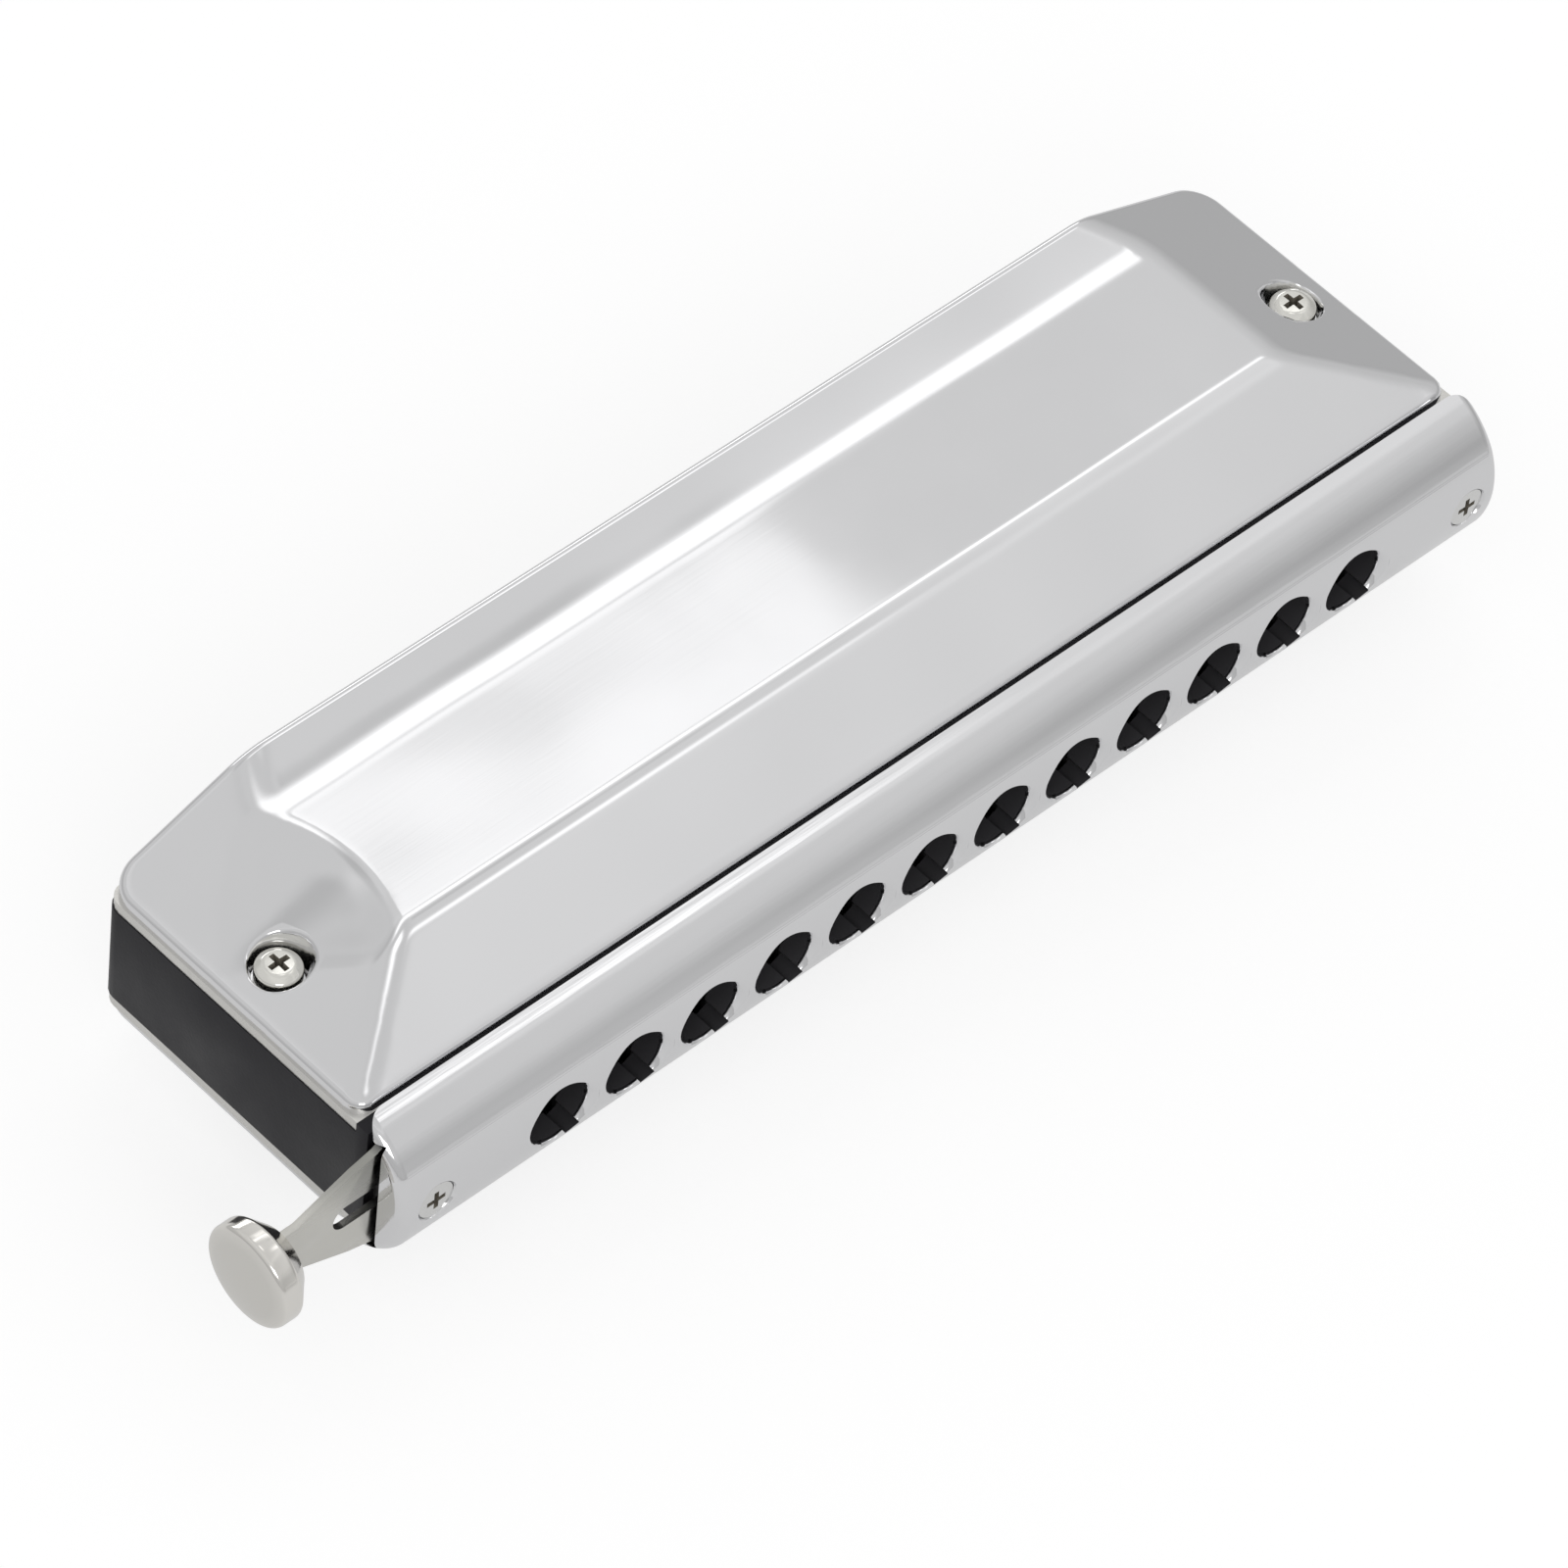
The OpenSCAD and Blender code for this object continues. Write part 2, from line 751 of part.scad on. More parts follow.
// Mouthpiece

// Depth of the nose at the crease, and the centre of the upper shoulder's arc
crease_y = nose_r - sqrt(nose_r * nose_r - crease_z * crease_z);
shoulder_a = [crease_y, crease_z];
shoulder_b = [mouth_depth, mouth_height / 2];
shoulder_mid = (shoulder_a + shoulder_b) / 2;
shoulder_dir = unit(shoulder_b - shoulder_a);
shoulder_back = sqrt(shoulder_r * shoulder_r - pow(norm(shoulder_b - shoulder_a) / 2, 2));
shoulder_o = shoulder_mid + shoulder_back * [shoulder_dir.y, -shoulder_dir.x];

module bar_x(y, z, r) {
    translate([-mouth_half - 3, y, z])
        rotate([0, 90, 0])
            cylinder(h = 2 * mouth_half + 6, r = r, $fn = 120);
}

module mouth_solid() {
    c = mouth_chamfer;
    intersection() {
        nose_form();
        slab_y(0, mouth_depth)
            polygon([[-mouth_half, -mouth_height / 2 + c], [-mouth_half + c, -mouth_height / 2],
                     [mouth_half - c, -mouth_height / 2], [mouth_half, -mouth_height / 2 + c],
                     [mouth_half, mouth_height / 2 - c], [mouth_half - c, mouth_height / 2],
                     [-mouth_half + c, mouth_height / 2], [-mouth_half, mouth_height / 2 - c]]);
        translate([0, 0, -mouth_height])
            linear_extrude(2 * mouth_height)
                polygon(rounded([[-mouth_half + c, 0], [mouth_half - c, 0], [mouth_half, c],
                                 [mouth_half, mouth_depth], [-mouth_half, mouth_depth], [-mouth_half, c]],
                                [0, 0, 0, mouth_corner_r, mouth_corner_r, 0], 8));
    }
}

// Round nose, with the flatter shoulders above and below the two creases
module nose_form() {
    difference() {
        bar_x(nose_r, 0, nose_r);
        both_sides()
            difference() {
                translate([-mouth_half - 2, -1, crease_z - 0.3])
                    cube([2 * mouth_half + 4, mouth_depth + 2, mouth_height]);
                bar_x(shoulder_o.x, shoulder_o.y, shoulder_r);
            }
    }
}

module blow_hole(x) {
    bar_y(x, 0, -1, mouth_wall + 1, hole_d / 2);
    bar_y(x, 0, -0.1, hole_flare, hole_d / 2 + hole_flare, hole_d / 2);
    translate([x, 0, 0])
        rotate([0, notch_angle, 0])
            translate([0, -1, -notch_w / 2])
                cube([hole_d / 2 + notch_depth, mouth_wall + 2, notch_w]);
}

module mouthpiece() {
    color([0.84, 0.85, 0.86]) to_frame()
        difference() {
            mouth_solid();
            translate([-mouth_half - 1, casing_y, -stack_half - seat_gap])
                cube([casing_end + mouth_half + 1, mouth_depth, 2 * (stack_half + seat_gap)]);
            translate([-mouth_half - 1, comb_front, -plate_top - seat_gap])
                cube([2 * mouth_half + 2, mouth_depth, 2 * (plate_top + seat_gap)]);
            for (i = [0 : hole_count - 1])
                blow_hole(hole_x(i));
            both_ends() {
                bar_y(mouth_screw_x, 0, -1, mouth_depth, screw_d / 2 + 0.05);
                bar_y(mouth_screw_x, 0, mouth_head_y, mouth_head_y + head_cone, mouth_head_d / 2, screw_d / 2);
                bar_y(mouth_screw_x, 0, -1, mouth_head_y + eps, mouth_head_d / 2);
            }
        }
}

// A countersunk head's height, for its 90 degree cone
head_cone = (mouth_head_d - screw_d) / 2;

module mouthpiece_screws() {
    color([0.76, 0.75, 0.72]) to_frame()
        both_ends()
            difference() {
                union() {
                    bar_y(mouth_screw_x, 0, mouth_head_y, mouth_head_y + head_cone, mouth_head_d / 2, screw_d / 2);
                    bar_y(mouth_screw_x, 0, mouth_head_y + eps, mouth_head_y + mouth_screw_len, screw_d / 2);
                }
                for (a = [0, 90])
                    translate([mouth_screw_x, 0, 0])
                        rotate([0, a, 0])
                            translate([-1.1, -1, -0.22])
                                cube([2.2, mouth_head_y + 1.9, 0.44]);
            }
}

// Slide stack

module stack_screw_holes(grow) {
    both_ends()
        bar_y(mouth_screw_x, 0, casing_y - 1, comb_front + 1, screw_d / 2 + grow);
}

module slide_casing() {
    color([0.74, 0.73, 0.7]) to_frame()
        difference() {
            translate([casing_start, casing_y, -stack_half])
                cube([casing_end - seat_gap - casing_start, back_plate_y - casing_y, 2 * stack_half]);
            translate([-body_half - 1, casing_y + casing_t, -channel_half])
                cube([body_half + casing_end + 2, back_plate_y, 2 * channel_half]);
            for (i = [0 : hole_count - 1])
                slab_y(casing_y - 1, casing_y + casing_t + 1)
                    translate([hole_x(i) - window_w / 2 - 0.3, -window_z - window_h / 2])
                        square([window_w + 0.6, 2 * window_z + window_h]);
            stack_screw_holes(0.05);
        }
}

module slide_back_plate() {
    color([0.74, 0.73, 0.7]) to_frame()
        difference() {
            translate([casing_start, back_plate_y, -stack_half])
                cube([casing_end - seat_gap - casing_start, back_plate_t, 2 * stack_half]);
            both_sides()
                for (i = [0 : hole_count - 1])
                    translate([hole_x(i) - window_w / 2, back_plate_y - 1, web_t / 2])
                        cube([window_w, back_plate_t + 2, window_h]);
            translate([leg_tip_x - wire_d - 0.3, back_plate_y - 1, leg_z - wire_d])
                cube([travel + 2 * wire_d + 0.6, back_plate_t + 2, 2 * wire_d]);
            stack_screw_holes(0.05);
        }
}

module slide_outline() {
    tongue_x = handle_tip_x - tongue_depth;
    mid_x1 = handle_root_x - handle_len * 0.25;
    polygon([[slide_end, -slide_h / 2], [slide_end, slide_h / 2],
             [handle_root_x + 0.6, slide_h / 2], [handle_root_x, handle_root_h / 2],
             [mid_x1, handle_root_h * 0.44], [handle_tip_x + 1.6, handle_tip_h / 2],
             [handle_tip_x, handle_tip_h / 2], [handle_tip_x, tongue_h / 2], [tongue_x, tongue_h / 2],
             [tongue_x, -tongue_h / 2], [handle_tip_x, -tongue_h / 2], [handle_tip_x, -handle_tip_h / 2],
             [handle_tip_x + 1.6, -handle_tip_h / 2], [mid_x1, -handle_root_h * 0.44],
             [handle_root_x, -handle_root_h / 2], [handle_root_x + 0.6, -slide_h / 2]]);
}

module slide() {
    color([0.72, 0.71, 0.68]) to_frame()
        difference() {
            slab_y(slide_y, slide_y + slide_t)
                slide_outline();
            // Lower windows stand open at rest, upper ones open when the button is pushed
            for (i = [0 : hole_count - 1]) {
                translate([hole_x(i) - window_w / 2, slide_y - 1, -web_t / 2 - window_h])
                    cube([window_w, slide_t + 2, window_h]);
                translate([hole_x(i) - travel - window_w / 2, slide_y - 1, web_t / 2])
                    cube([window_w, slide_t + 2, window_h]);
            }
            translate([slot_out + slot_w / 2, slide_y - 1, -slot_w / 2])
                cube([slot_in - slot_out - slot_w / 2, slide_t + 2, slot_w]);
            bar_y(slot_out + slot_w / 2, 0, slide_y - 1, slide_y + slide_t + 1, slot_w / 2);
            bar_y(leg_tip_x, leg_z, slide_y - 1, slide_y + slide_t + 1, wire_d / 2 + 0.3);
        }
}

module slide_bumpers() {
    color([0.2, 0.2, 0.2]) to_frame()
        both_ends()
            difference() {
                bar_y(mouth_screw_x, 0, casing_y + casing_t, back_plate_y, bumper_r);
                bar_y(mouth_screw_x, 0, casing_y, comb_front, screw_d / 2);
            }
}

module slide_button() {
    r = button_d / 2;
    outer = button_t + button_dome;
    button_neck = norm([handle_tip_h, slide_t]) / 2 + 0.3;
    dome_r = (r * r + button_dome * button_dome) / (2 * button_dome);
    color([0.74, 0.73, 0.7]) to_frame()
        difference() {
            translate([handle_tip_x, slide_y + slide_t / 2, 0])
                rotate([0, -90, 0])
                    intersection() {
                        rotate_extrude($fn = 96)
                            polygon(rounded([[0, 0], [button_neck, 0], [r, button_cone],
                                             [r, button_t], [0, button_t + 2 * button_dome]],
                                            [0, 0.3, button_round, button_round, 0], 8));
                        translate([0, 0, outer - dome_r])
                            sphere(r = dome_r, $fn = 96);
                    }
            translate([handle_tip_x - tongue_depth, slide_y, -tongue_h / 2])
                cube([tongue_depth + 1, slide_t, tongue_h]);
        }
}

// Return spring: a hairpin of wire wound round its pin, one tube of eight sides

function leg_start() = [leg_tip_x, slide_y + slide_t * 0.25, leg_z];
function coil_point(a) =
    [pin_x + coil_r * cos(180 - a), pin_y + coil_r * sin(180 - a), leg_z - coil_pitch * a / 360];
function spring_path() =
    let (last = spring_turns * 360, stop = coil_point(last))
    concat([leg_start(), (leg_start() + coil_point(0)) / 2],
           [for (a = [0 : 22.5 : last]) coil_point(a)],
           [[(stop.x + pocket_far - wire_d / 2) / 2, (pin_y + comb_front + 1) / 2, stop.z],
            [pocket_far - wire_d / 2 - 0.02, comb_front + 1, stop.z]]);

// Direction of the wire at point i of its path
function wire_dir(p, i) = unit(p[min(i + 1, len(p) - 1)] - p[max(i - 1, 0)]);
function wire_ring(p, i, sides) =
    let (d = wire_dir(p, i), s = unit(cross(d, [0, 0, 1])), u = cross(s, d))
    [for (k = [0 : sides - 1]) p[i] + wire_d / 2 * (cos(360 * k / sides) * s + sin(360 * k / sides) * u)];

module tube(p, sides) {
    n = len(p);
    points = [for (i = [0 : n - 1]) each wire_ring(p, i, sides)];
    walls = [for (i = [0 : n - 2], k = [0 : sides - 1])
        let (a = i * sides + k, b = i * sides + (k + 1) % sides)
        each [[a, b, b + sides], [a, b + sides, a + sides]]];
    first = [for (k = [1 : sides - 2]) [0, k + 1, k]];
    last = [for (k = [1 : sides - 2]) (n - 1) * sides * [1, 1, 1] + [0, k, k + 1]];
    polyhedron(points = points, faces = concat(walls, first, last));
}

module slide_spring() {
    color([0.8, 0.8, 0.78]) to_frame()
        tube(spring_path(), 8);
}

comb();
reed_plate_upper();
reed_plate_lower();
blow_reeds_upper();
blow_reeds_lower();
draw_reeds_upper();
draw_reeds_lower();
reed_rivets_upper();
reed_rivets_lower();
outer_valves_upper();
outer_valves_lower();
inner_valves_upper();
inner_valves_lower();
plate_screws_upper();
plate_screws_lower();
cover_upper();
cover_lower();
cover_screws_upper();
cover_screws_lower();
cover_inserts();
mouthpiece();
mouthpiece_screws();
mouthpiece_inserts();
slide_casing();
slide_back_plate();
slide();
slide_button();
slide_bumpers();
slide_spring();
spring_pin();
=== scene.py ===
"""A chromatic harmonica with a slide button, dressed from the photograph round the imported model."""
import math

import bmesh
import bpy
from mathutils import Matrix, Vector


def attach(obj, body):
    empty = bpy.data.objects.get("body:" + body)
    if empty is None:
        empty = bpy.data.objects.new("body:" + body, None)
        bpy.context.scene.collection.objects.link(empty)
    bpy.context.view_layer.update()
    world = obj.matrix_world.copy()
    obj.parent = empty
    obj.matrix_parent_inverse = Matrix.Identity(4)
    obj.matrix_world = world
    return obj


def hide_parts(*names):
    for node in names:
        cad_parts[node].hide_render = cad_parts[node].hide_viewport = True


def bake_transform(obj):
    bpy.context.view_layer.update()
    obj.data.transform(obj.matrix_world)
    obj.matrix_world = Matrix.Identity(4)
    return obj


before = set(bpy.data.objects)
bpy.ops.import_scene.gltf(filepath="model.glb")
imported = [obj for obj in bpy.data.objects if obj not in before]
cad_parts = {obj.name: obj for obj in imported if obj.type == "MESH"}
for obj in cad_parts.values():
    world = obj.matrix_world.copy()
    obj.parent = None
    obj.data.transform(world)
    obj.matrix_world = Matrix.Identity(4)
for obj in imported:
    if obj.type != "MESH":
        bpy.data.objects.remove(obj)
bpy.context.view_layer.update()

# The view of the photograph: a long lens from the front left, above the instrument, with the
# camera rolled a little. Its place was worked out from the row of blow holes and the screws.
photo_width, focal_pixels, sensor = 1600, 10752, 36
eye_right, eye_up, eye_back = -17.12, 5.50, 969.6  # mm from the middle of the mouthpiece's nose
view_right = Vector((0.729259, -0.679776, 0.078020))
view_back = Vector((-0.485683, -0.433946, 0.758817))
view_up = view_back.cross(view_right).normalized()
view_right = view_up.cross(view_back).normalized()
nose = Vector((7.675, -20.525, 14.5825)) / 1000
eye = nose + (view_right * eye_right + view_up * eye_up + view_back * eye_back) / 1000
lens = bpy.data.cameras.new("long_lens")
lens.sensor_width = sensor
lens.lens = sensor * focal_pixels / photo_width
lens.clip_start, lens.clip_end = 0.05, 20
camera = bpy.data.objects.new("camera", lens)
bpy.context.scene.collection.objects.link(camera)
turned_view = Matrix((view_right, view_up, view_back)).transposed().to_4x4()
camera.matrix_world = Matrix.Translation(eye) @ turned_view
bpy.context.scene.camera = camera
bpy.context.scene.view_settings.view_transform = "Standard"

# The studio: a white tent that is greyer low down and at its sides, over a white table, with soft
# lamps that the covers and the mouthpiece mirror. None of it belongs to the instrument.


def node(tree, kind, inputs=None, **settings):
    """One shader node; inputs holds a value or a socket for each input by name or number."""
    made = tree.nodes.new(kind)
    for name, value in settings.items():
        setattr(made, name, value)
    for name, value in (inputs or {}).items():
        if isinstance(value, bpy.types.NodeSocket):
            tree.links.new(value, made.inputs[name])
        else:
            made.inputs[name].default_value = value
    return made


def maths(tree, operation, *values):
    """The result of a sum with numbers or sockets."""
    return node(tree, "ShaderNodeMath", dict(enumerate(values)), operation=operation).outputs[0]


def vector_maths(tree, operation, *values):
    """The same with vectors; it gives the node, since some results are numbers."""
    return node(tree, "ShaderNodeVectorMath", dict(enumerate(values)), operation=operation)


def spread(tree, value, start=0.0, end=1.0, low=0.0, high=1.0, curve="LINEAR"):
    """Lays the range of a value from start to end on a range from low to high."""
    return node(tree, "ShaderNodeMapRange", {0: value, 1: start, 2: end, 3: low, 4: high},
                interpolation_type=curve).outputs[0]


def ramp(tree, factor, *stops):
    """A ramp of grey levels; each stop is its place and its level."""
    made = tree.nodes.new("ShaderNodeValToRGB")
    tree.links.new(factor, made.inputs[0])
    bar = made.color_ramp.elements
    while len(bar) < len(stops):
        bar.new(0.5)
    for element, (place, level) in zip(bar, stops):
        element.position = place
        element.color = (level, level, level, 1)
    return made.outputs[0]


def ray_kinds(tree):
    """Sockets that tell the camera's straight look, and a look by a mirror or through glass."""
    ray = node(tree, "ShaderNodeLightPath").outputs
    return ray["Is Camera Ray"], maths(tree, "MAXIMUM", ray["Is Glossy Ray"],
                                       ray["Is Transmission Ray"])


tent = bpy.data.worlds.new("tent")
tent.use_nodes = True
bpy.context.scene.world = tent
tree = tent.node_tree
tree.nodes.clear()
direction = node(tree, "ShaderNodeTexCoord").outputs["Generated"]
split = node(tree, "ShaderNodeSeparateXYZ", {0: direction})
tent_grey = ramp(tree, split.outputs["Z"], (0.0, 0.48), (0.12, 0.52), (0.26, 0.51), (0.5, 0.66),
                 (0.74, 0.65), (0.785, 0.67), (0.83, 0.78), (0.87, 0.685), (1.0, 0.68))
tent_side = ramp(tree, split.outputs["X"], (0.0, 0.905), (0.06, 0.87), (0.35, 0.87), (0.47, 0.97),
                 (0.52, 1.0), (0.6, 1.0), (0.8, 0.83))


def patch(tree, centre, reach, depth):
    """A soft darker patch of the tent round a direction, as a factor for the tent's level."""
    apart = vector_maths(tree, "SUBTRACT", direction, Vector(centre).normalized()).outputs[0]
    apart = vector_maths(tree, "MULTIPLY", apart, [1 / r for r in reach]).outputs[0]
    apart = vector_maths(tree, "LENGTH", apart).outputs["Value"]
    return spread(tree, apart, 0.4, 1.0, 1 - depth, 1.0, "SMOOTHSTEP")


tent_gain, tent_soft, tent_seen = 1.15, 0.62, 1.0
level = patch(tree, (0.462, 0.17, 0.87), (0.036, 0.07, 0.3), 0.18)
for factor in (patch(tree, (-0.025, 0.506, 0.862), (0.145, 0.14, 0.35), 0.2),
               patch(tree, (0.62, -0.70, 0.35), (0.2, 0.42, 0.5), 0.22), tent_side, tent_gain):
    level = maths(tree, "MULTIPLY", level, factor)
glossy_light = node(tree, "ShaderNodeBackground", {0: tent_grey, 1: level}).outputs[0]
soft_light = node(tree, "ShaderNodeBackground", {0: (1, 1, 1, 1), 1: tent_soft}).outputs[0]
white = node(tree, "ShaderNodeBackground", {0: (1, 1, 1, 1), 1: tent_seen}).outputs[0]
straight, mirrored = ray_kinds(tree)
around = node(tree, "ShaderNodeMixShader", {0: mirrored, 1: soft_light, 2: glossy_light})
seen = node(tree, "ShaderNodeMixShader", {0: straight, 1: around.outputs[0], 2: white})
node(tree, "ShaderNodeOutputWorld", {0: seen.outputs[0]})

bpy.ops.mesh.primitive_plane_add(size=6, location=(0, 0, 0))
table = bpy.context.object
table.name = "table"
cloth = bpy.data.materials.new("table_white")
cloth.use_nodes = True
tree = cloth.node_tree
tree.nodes.clear()
table_grey, table_glow = 0.4, 0.72
straight, mirrored = ray_kinds(tree)
place = node(tree, "ShaderNodeTexCoord").outputs["Object"]
away = vector_maths(tree, "LENGTH", place).outputs["Value"]
mirrored = maths(tree, "MULTIPLY", mirrored, spread(tree, away, 0.12, 0.7, 0.42, 0.2))
own = maths(tree, "MAXIMUM", mirrored, maths(tree, "MULTIPLY", straight, table_glow))
lit = node(tree, "ShaderNodeBsdfDiffuse", {0: (table_grey, table_grey, table_grey, 1)})
glow = node(tree, "ShaderNodeEmission", {0: (1, 1, 1, 1), 1: own})
both = node(tree, "ShaderNodeAddShader", {0: lit.outputs[0], 1: glow.outputs[0]})
node(tree, "ShaderNodeOutputMaterial", {0: both.outputs[0]})
table.data.materials.append(cloth)


def soft_lamp(name, place, target, width, depth, bright, blur=0.15):
    """A rectangular lamp that looks at a point and fades at its edges; no camera sees it."""
    light = bpy.data.lights.new(name, "AREA")
    light.shape = "RECTANGLE"
    light.size, light.size_y = width, depth
    light.energy = math.pi * width * depth
    light.use_nodes = True
    tree = light.node_tree
    spot = node(tree, "ShaderNodeNewGeometry").outputs["Parametric"]
    spot = node(tree, "ShaderNodeSeparateXYZ", {0: spot})
    level = bright
    for axis, length in (("X", width), ("Y", depth)):
        out = maths(tree, "ABSOLUTE", maths(tree, "SUBTRACT", spot.outputs[axis], 0.5))
        edge = spread(tree, out, 0.5, 0.5 - blur * min(width, depth) / length, curve="SMOOTHSTEP")
        level = maths(tree, "MULTIPLY", edge, level)
    tree.links.new(level, tree.nodes["Emission"].inputs["Strength"])
    lamp = bpy.data.objects.new(name, light)
    bpy.context.scene.collection.objects.link(lamp)
    place, target = Vector(place), Vector(target)
    lamp.location = place
    lamp.rotation_mode = "QUATERNION"
    lamp.rotation_quaternion = (target - place).to_track_quat("-Z", "Y")
    lamp.visible_camera = False


overhead = 0.714  # the height of the flat lamps above the nose, in metres
for name, x, y, width, depth, bright, blur in (
        ("top_lamp", 0.354, 0.420, 0.25, 0.10, 0.50, 0.18),
        ("rear_lamp", 0.340, 0.500, 0.30, 0.13, 0.34, 0.5),
        ("fold_lamp", 0.290, 0.300, 0.64, 0.17, 0.75, 0.5),
        ("mouth_lamp", 0.325, -0.112, 0.23, 0.17, 0.62, 0.5),
        ("hip_lamp", 0.085, 0.045, 0.19, 0.22, 0.85, 0.4)):
    place = nose + Vector((x, y, overhead))
    soft_lamp(name, place, place - Vector((0, 0, 1)), width, depth, bright, blur)
soft_lamp("front_lamp", (-0.75, -0.95, 0.80), (0, 0, 0), 0.7, 0.5, 2.5)
soft_lamp("edge_lamp", (0.57, -1.0, 0.05), (0, 0, 0.02), 0.9, 0.08, 0.12)
soft_lamp("back_lamp", (0.5, 1.2, 0.35), (0, 0, 0), 0.9, 0.3, 1.5)

# The comb: one dark moulded body with a row of chambers above and below a thin web, and a rail in
# front that the mouthpiece slides over. The moulding leaves a fine grain and soft edges.
weld = 2e-6  # metres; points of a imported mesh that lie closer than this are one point


def new_object(name, mesh):
    made = bpy.data.objects.new(name, mesh)
    bpy.context.scene.collection.objects.link(made)
    return made


def only(obj):
    """Makes one object the selected and active one."""
    bpy.ops.object.select_all(action="DESELECT")
    obj.select_set(True)
    bpy.context.view_layer.objects.active = obj


def apply(obj, kind, **settings):
    """Adds a modifier to a piece and applies it."""
    only(obj)
    modifier = obj.modifiers.new(kind.lower(), kind)
    for name, value in settings.items():
        setattr(modifier, name, value)
    bpy.ops.object.modifier_apply(modifier=modifier.name)


def smooth(obj, degrees):
    """Shades a piece smooth, but for edges sharper than an angle."""
    only(obj)
    bpy.ops.object.shade_smooth_by_angle(angle=math.radians(degrees))


def in_frame(x, y, z):
    """A point given in millimetres from the middle of the mouthpiece's nose."""
    return Vector((x, y, z)) / 1000 + nose


def softened(node_name, name, width, segments=2):
    """A copy of a CAD node with its sharp edges rounded, which stands for the node."""
    made = new_object(name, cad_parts[node_name].data.copy())
    made.data.materials.clear()
    form = bmesh.new()
    form.from_mesh(made.data)
    bmesh.ops.remove_doubles(form, verts=form.verts, dist=weld)
    bmesh.ops.dissolve_limit(form, angle_limit=math.radians(1), verts=form.verts, edges=form.edges)
    form.to_mesh(made.data)
    form.free()
    apply(made, "BEVEL", width=width / 1000, segments=segments, limit_method="ANGLE",
          angle_limit=math.radians(30), harden_normals=False)
    smooth(made, 35)
    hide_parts(node_name)
    return made


def new_material(name):
    """A material with its tree, its shader and the socket of places on the object."""
    made = bpy.data.materials.new(name)
    made.use_nodes = True
    tree = made.node_tree
    place = node(tree, "ShaderNodeTexCoord").outputs["Object"]
    return made, tree, tree.nodes["Principled BSDF"], place


def noise(tree, place, scale, detail):
    return node(tree, "ShaderNodeTexNoise",
                {"Vector": place, "Scale": scale, "Detail": detail}).outputs[0]


def mixed(tree, factor, *colours):
    """A colour between two, each given as a socket or as red, green and blue."""
    one, two = (c if isinstance(c, bpy.types.NodeSocket) else (*c, 1) for c in colours)
    return node(tree, "ShaderNodeMix", {0: factor, 6: one, 7: two}, data_type="RGBA").outputs[2]


def shaded(colour, factor):
    """A colour made darker or lighter by a factor."""
    return [min(1, c * factor) for c in colour]


def bumped(tree, height, strength, distance, **below):
    """The direction of a surface with small heights in it; below may hold another bump's."""
    inputs = {"Height": height, "Strength": strength, "Distance": distance, **below}
    return node(tree, "ShaderNodeBump", inputs).outputs[0]


def moulded(name, colour, roughness, grain_size, grain):
    """Moulded plastic or rubber: a fine grain, a cloudy gloss and a little dust in the colour."""
    made, tree, shader, place = new_material(name)
    cloud = noise(tree, place, 90, 4)
    tint = mixed(tree, cloud, shaded(colour, 0.8), shaded(colour, 1.2))
    gloss = spread(tree, cloud, 0.3, 0.7, roughness * 0.85, roughness * 1.2)
    pits = bumped(tree, noise(tree, place, 1000 / grain_size, 3), grain, 0.00004)
    tree.links.new(tint, shader.inputs["Base Color"])
    tree.links.new(gloss, shader.inputs["Roughness"])
    tree.links.new(pits, shader.inputs["Normal"])
    shader.inputs["Specular IOR Level"].default_value = 0.22
    return made


comb = softened("comb", "comb_body", 0.15)
comb.data.materials.append(moulded("comb_plastic", (0.0165, 0.016, 0.0195), 0.45, 0.35, 0.4))
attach(comb, "body")

# The reed plates: two flat plates of pale nickel brass, milled with a slot for every reed and
# screwed to the comb. Their sawn edges show as a thin pale line between comb and covers.


def milled(name, colour, roughness, direction, scale, depth):
    """Rolled or milled metal: long fine marks in one direction, stains and a streaky gloss."""
    made, tree, shader, place = new_material(name)
    shader.inputs["Metallic"].default_value = 1
    along = node(tree, "ShaderNodeMapping",
                 {"Vector": place, "Scale": [scale * s for s in direction]}).outputs[0]
    marks = noise(tree, along, 1, 5)
    tint = mixed(tree, noise(tree, place, 130, 3), shaded(colour, 0.86), shaded(colour, 1.08))
    gloss = spread(tree, marks, 0.3, 0.7, roughness * 0.75, roughness * 1.3)
    tree.links.new(tint, shader.inputs["Base Color"])
    tree.links.new(gloss, shader.inputs["Roughness"])
    tree.links.new(bumped(tree, marks, depth, 0.00003), shader.inputs["Normal"])
    return made


def finish_nodes(material, *names):
    """Gives CAD nodes a material of their own in place of the plain packed one."""
    for name in names:
        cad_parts[name].data.materials.clear()
        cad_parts[name].data.materials.append(material)


plate_metal = milled("plate_nickel_brass", (0.72, 0.71, 0.68), 0.28, (0.12, 1, 1), 900, 0.3)
finish_nodes(plate_metal, "reed_plate_upper", "reed_plate_lower")

# The reeds: narrow tongues of spring brass, scraped bright along their length and each held by one
# rivet. Half of them speak when blown, and half when drawn.
reed_brass = milled("reed_brass", (0.78, 0.58, 0.28), 0.24, (1, 0.08, 1), 2200, 0.5)
finish_nodes(reed_brass, "blow_reeds_upper", "blow_reeds_lower",
             "draw_reeds_upper", "draw_reeds_lower")
rivet_brass = milled("rivet_brass", (0.66, 0.47, 0.22), 0.34, (1, 1, 1), 1500, 0.4)
finish_nodes(rivet_brass, "reed_rivets_upper", "reed_rivets_lower")

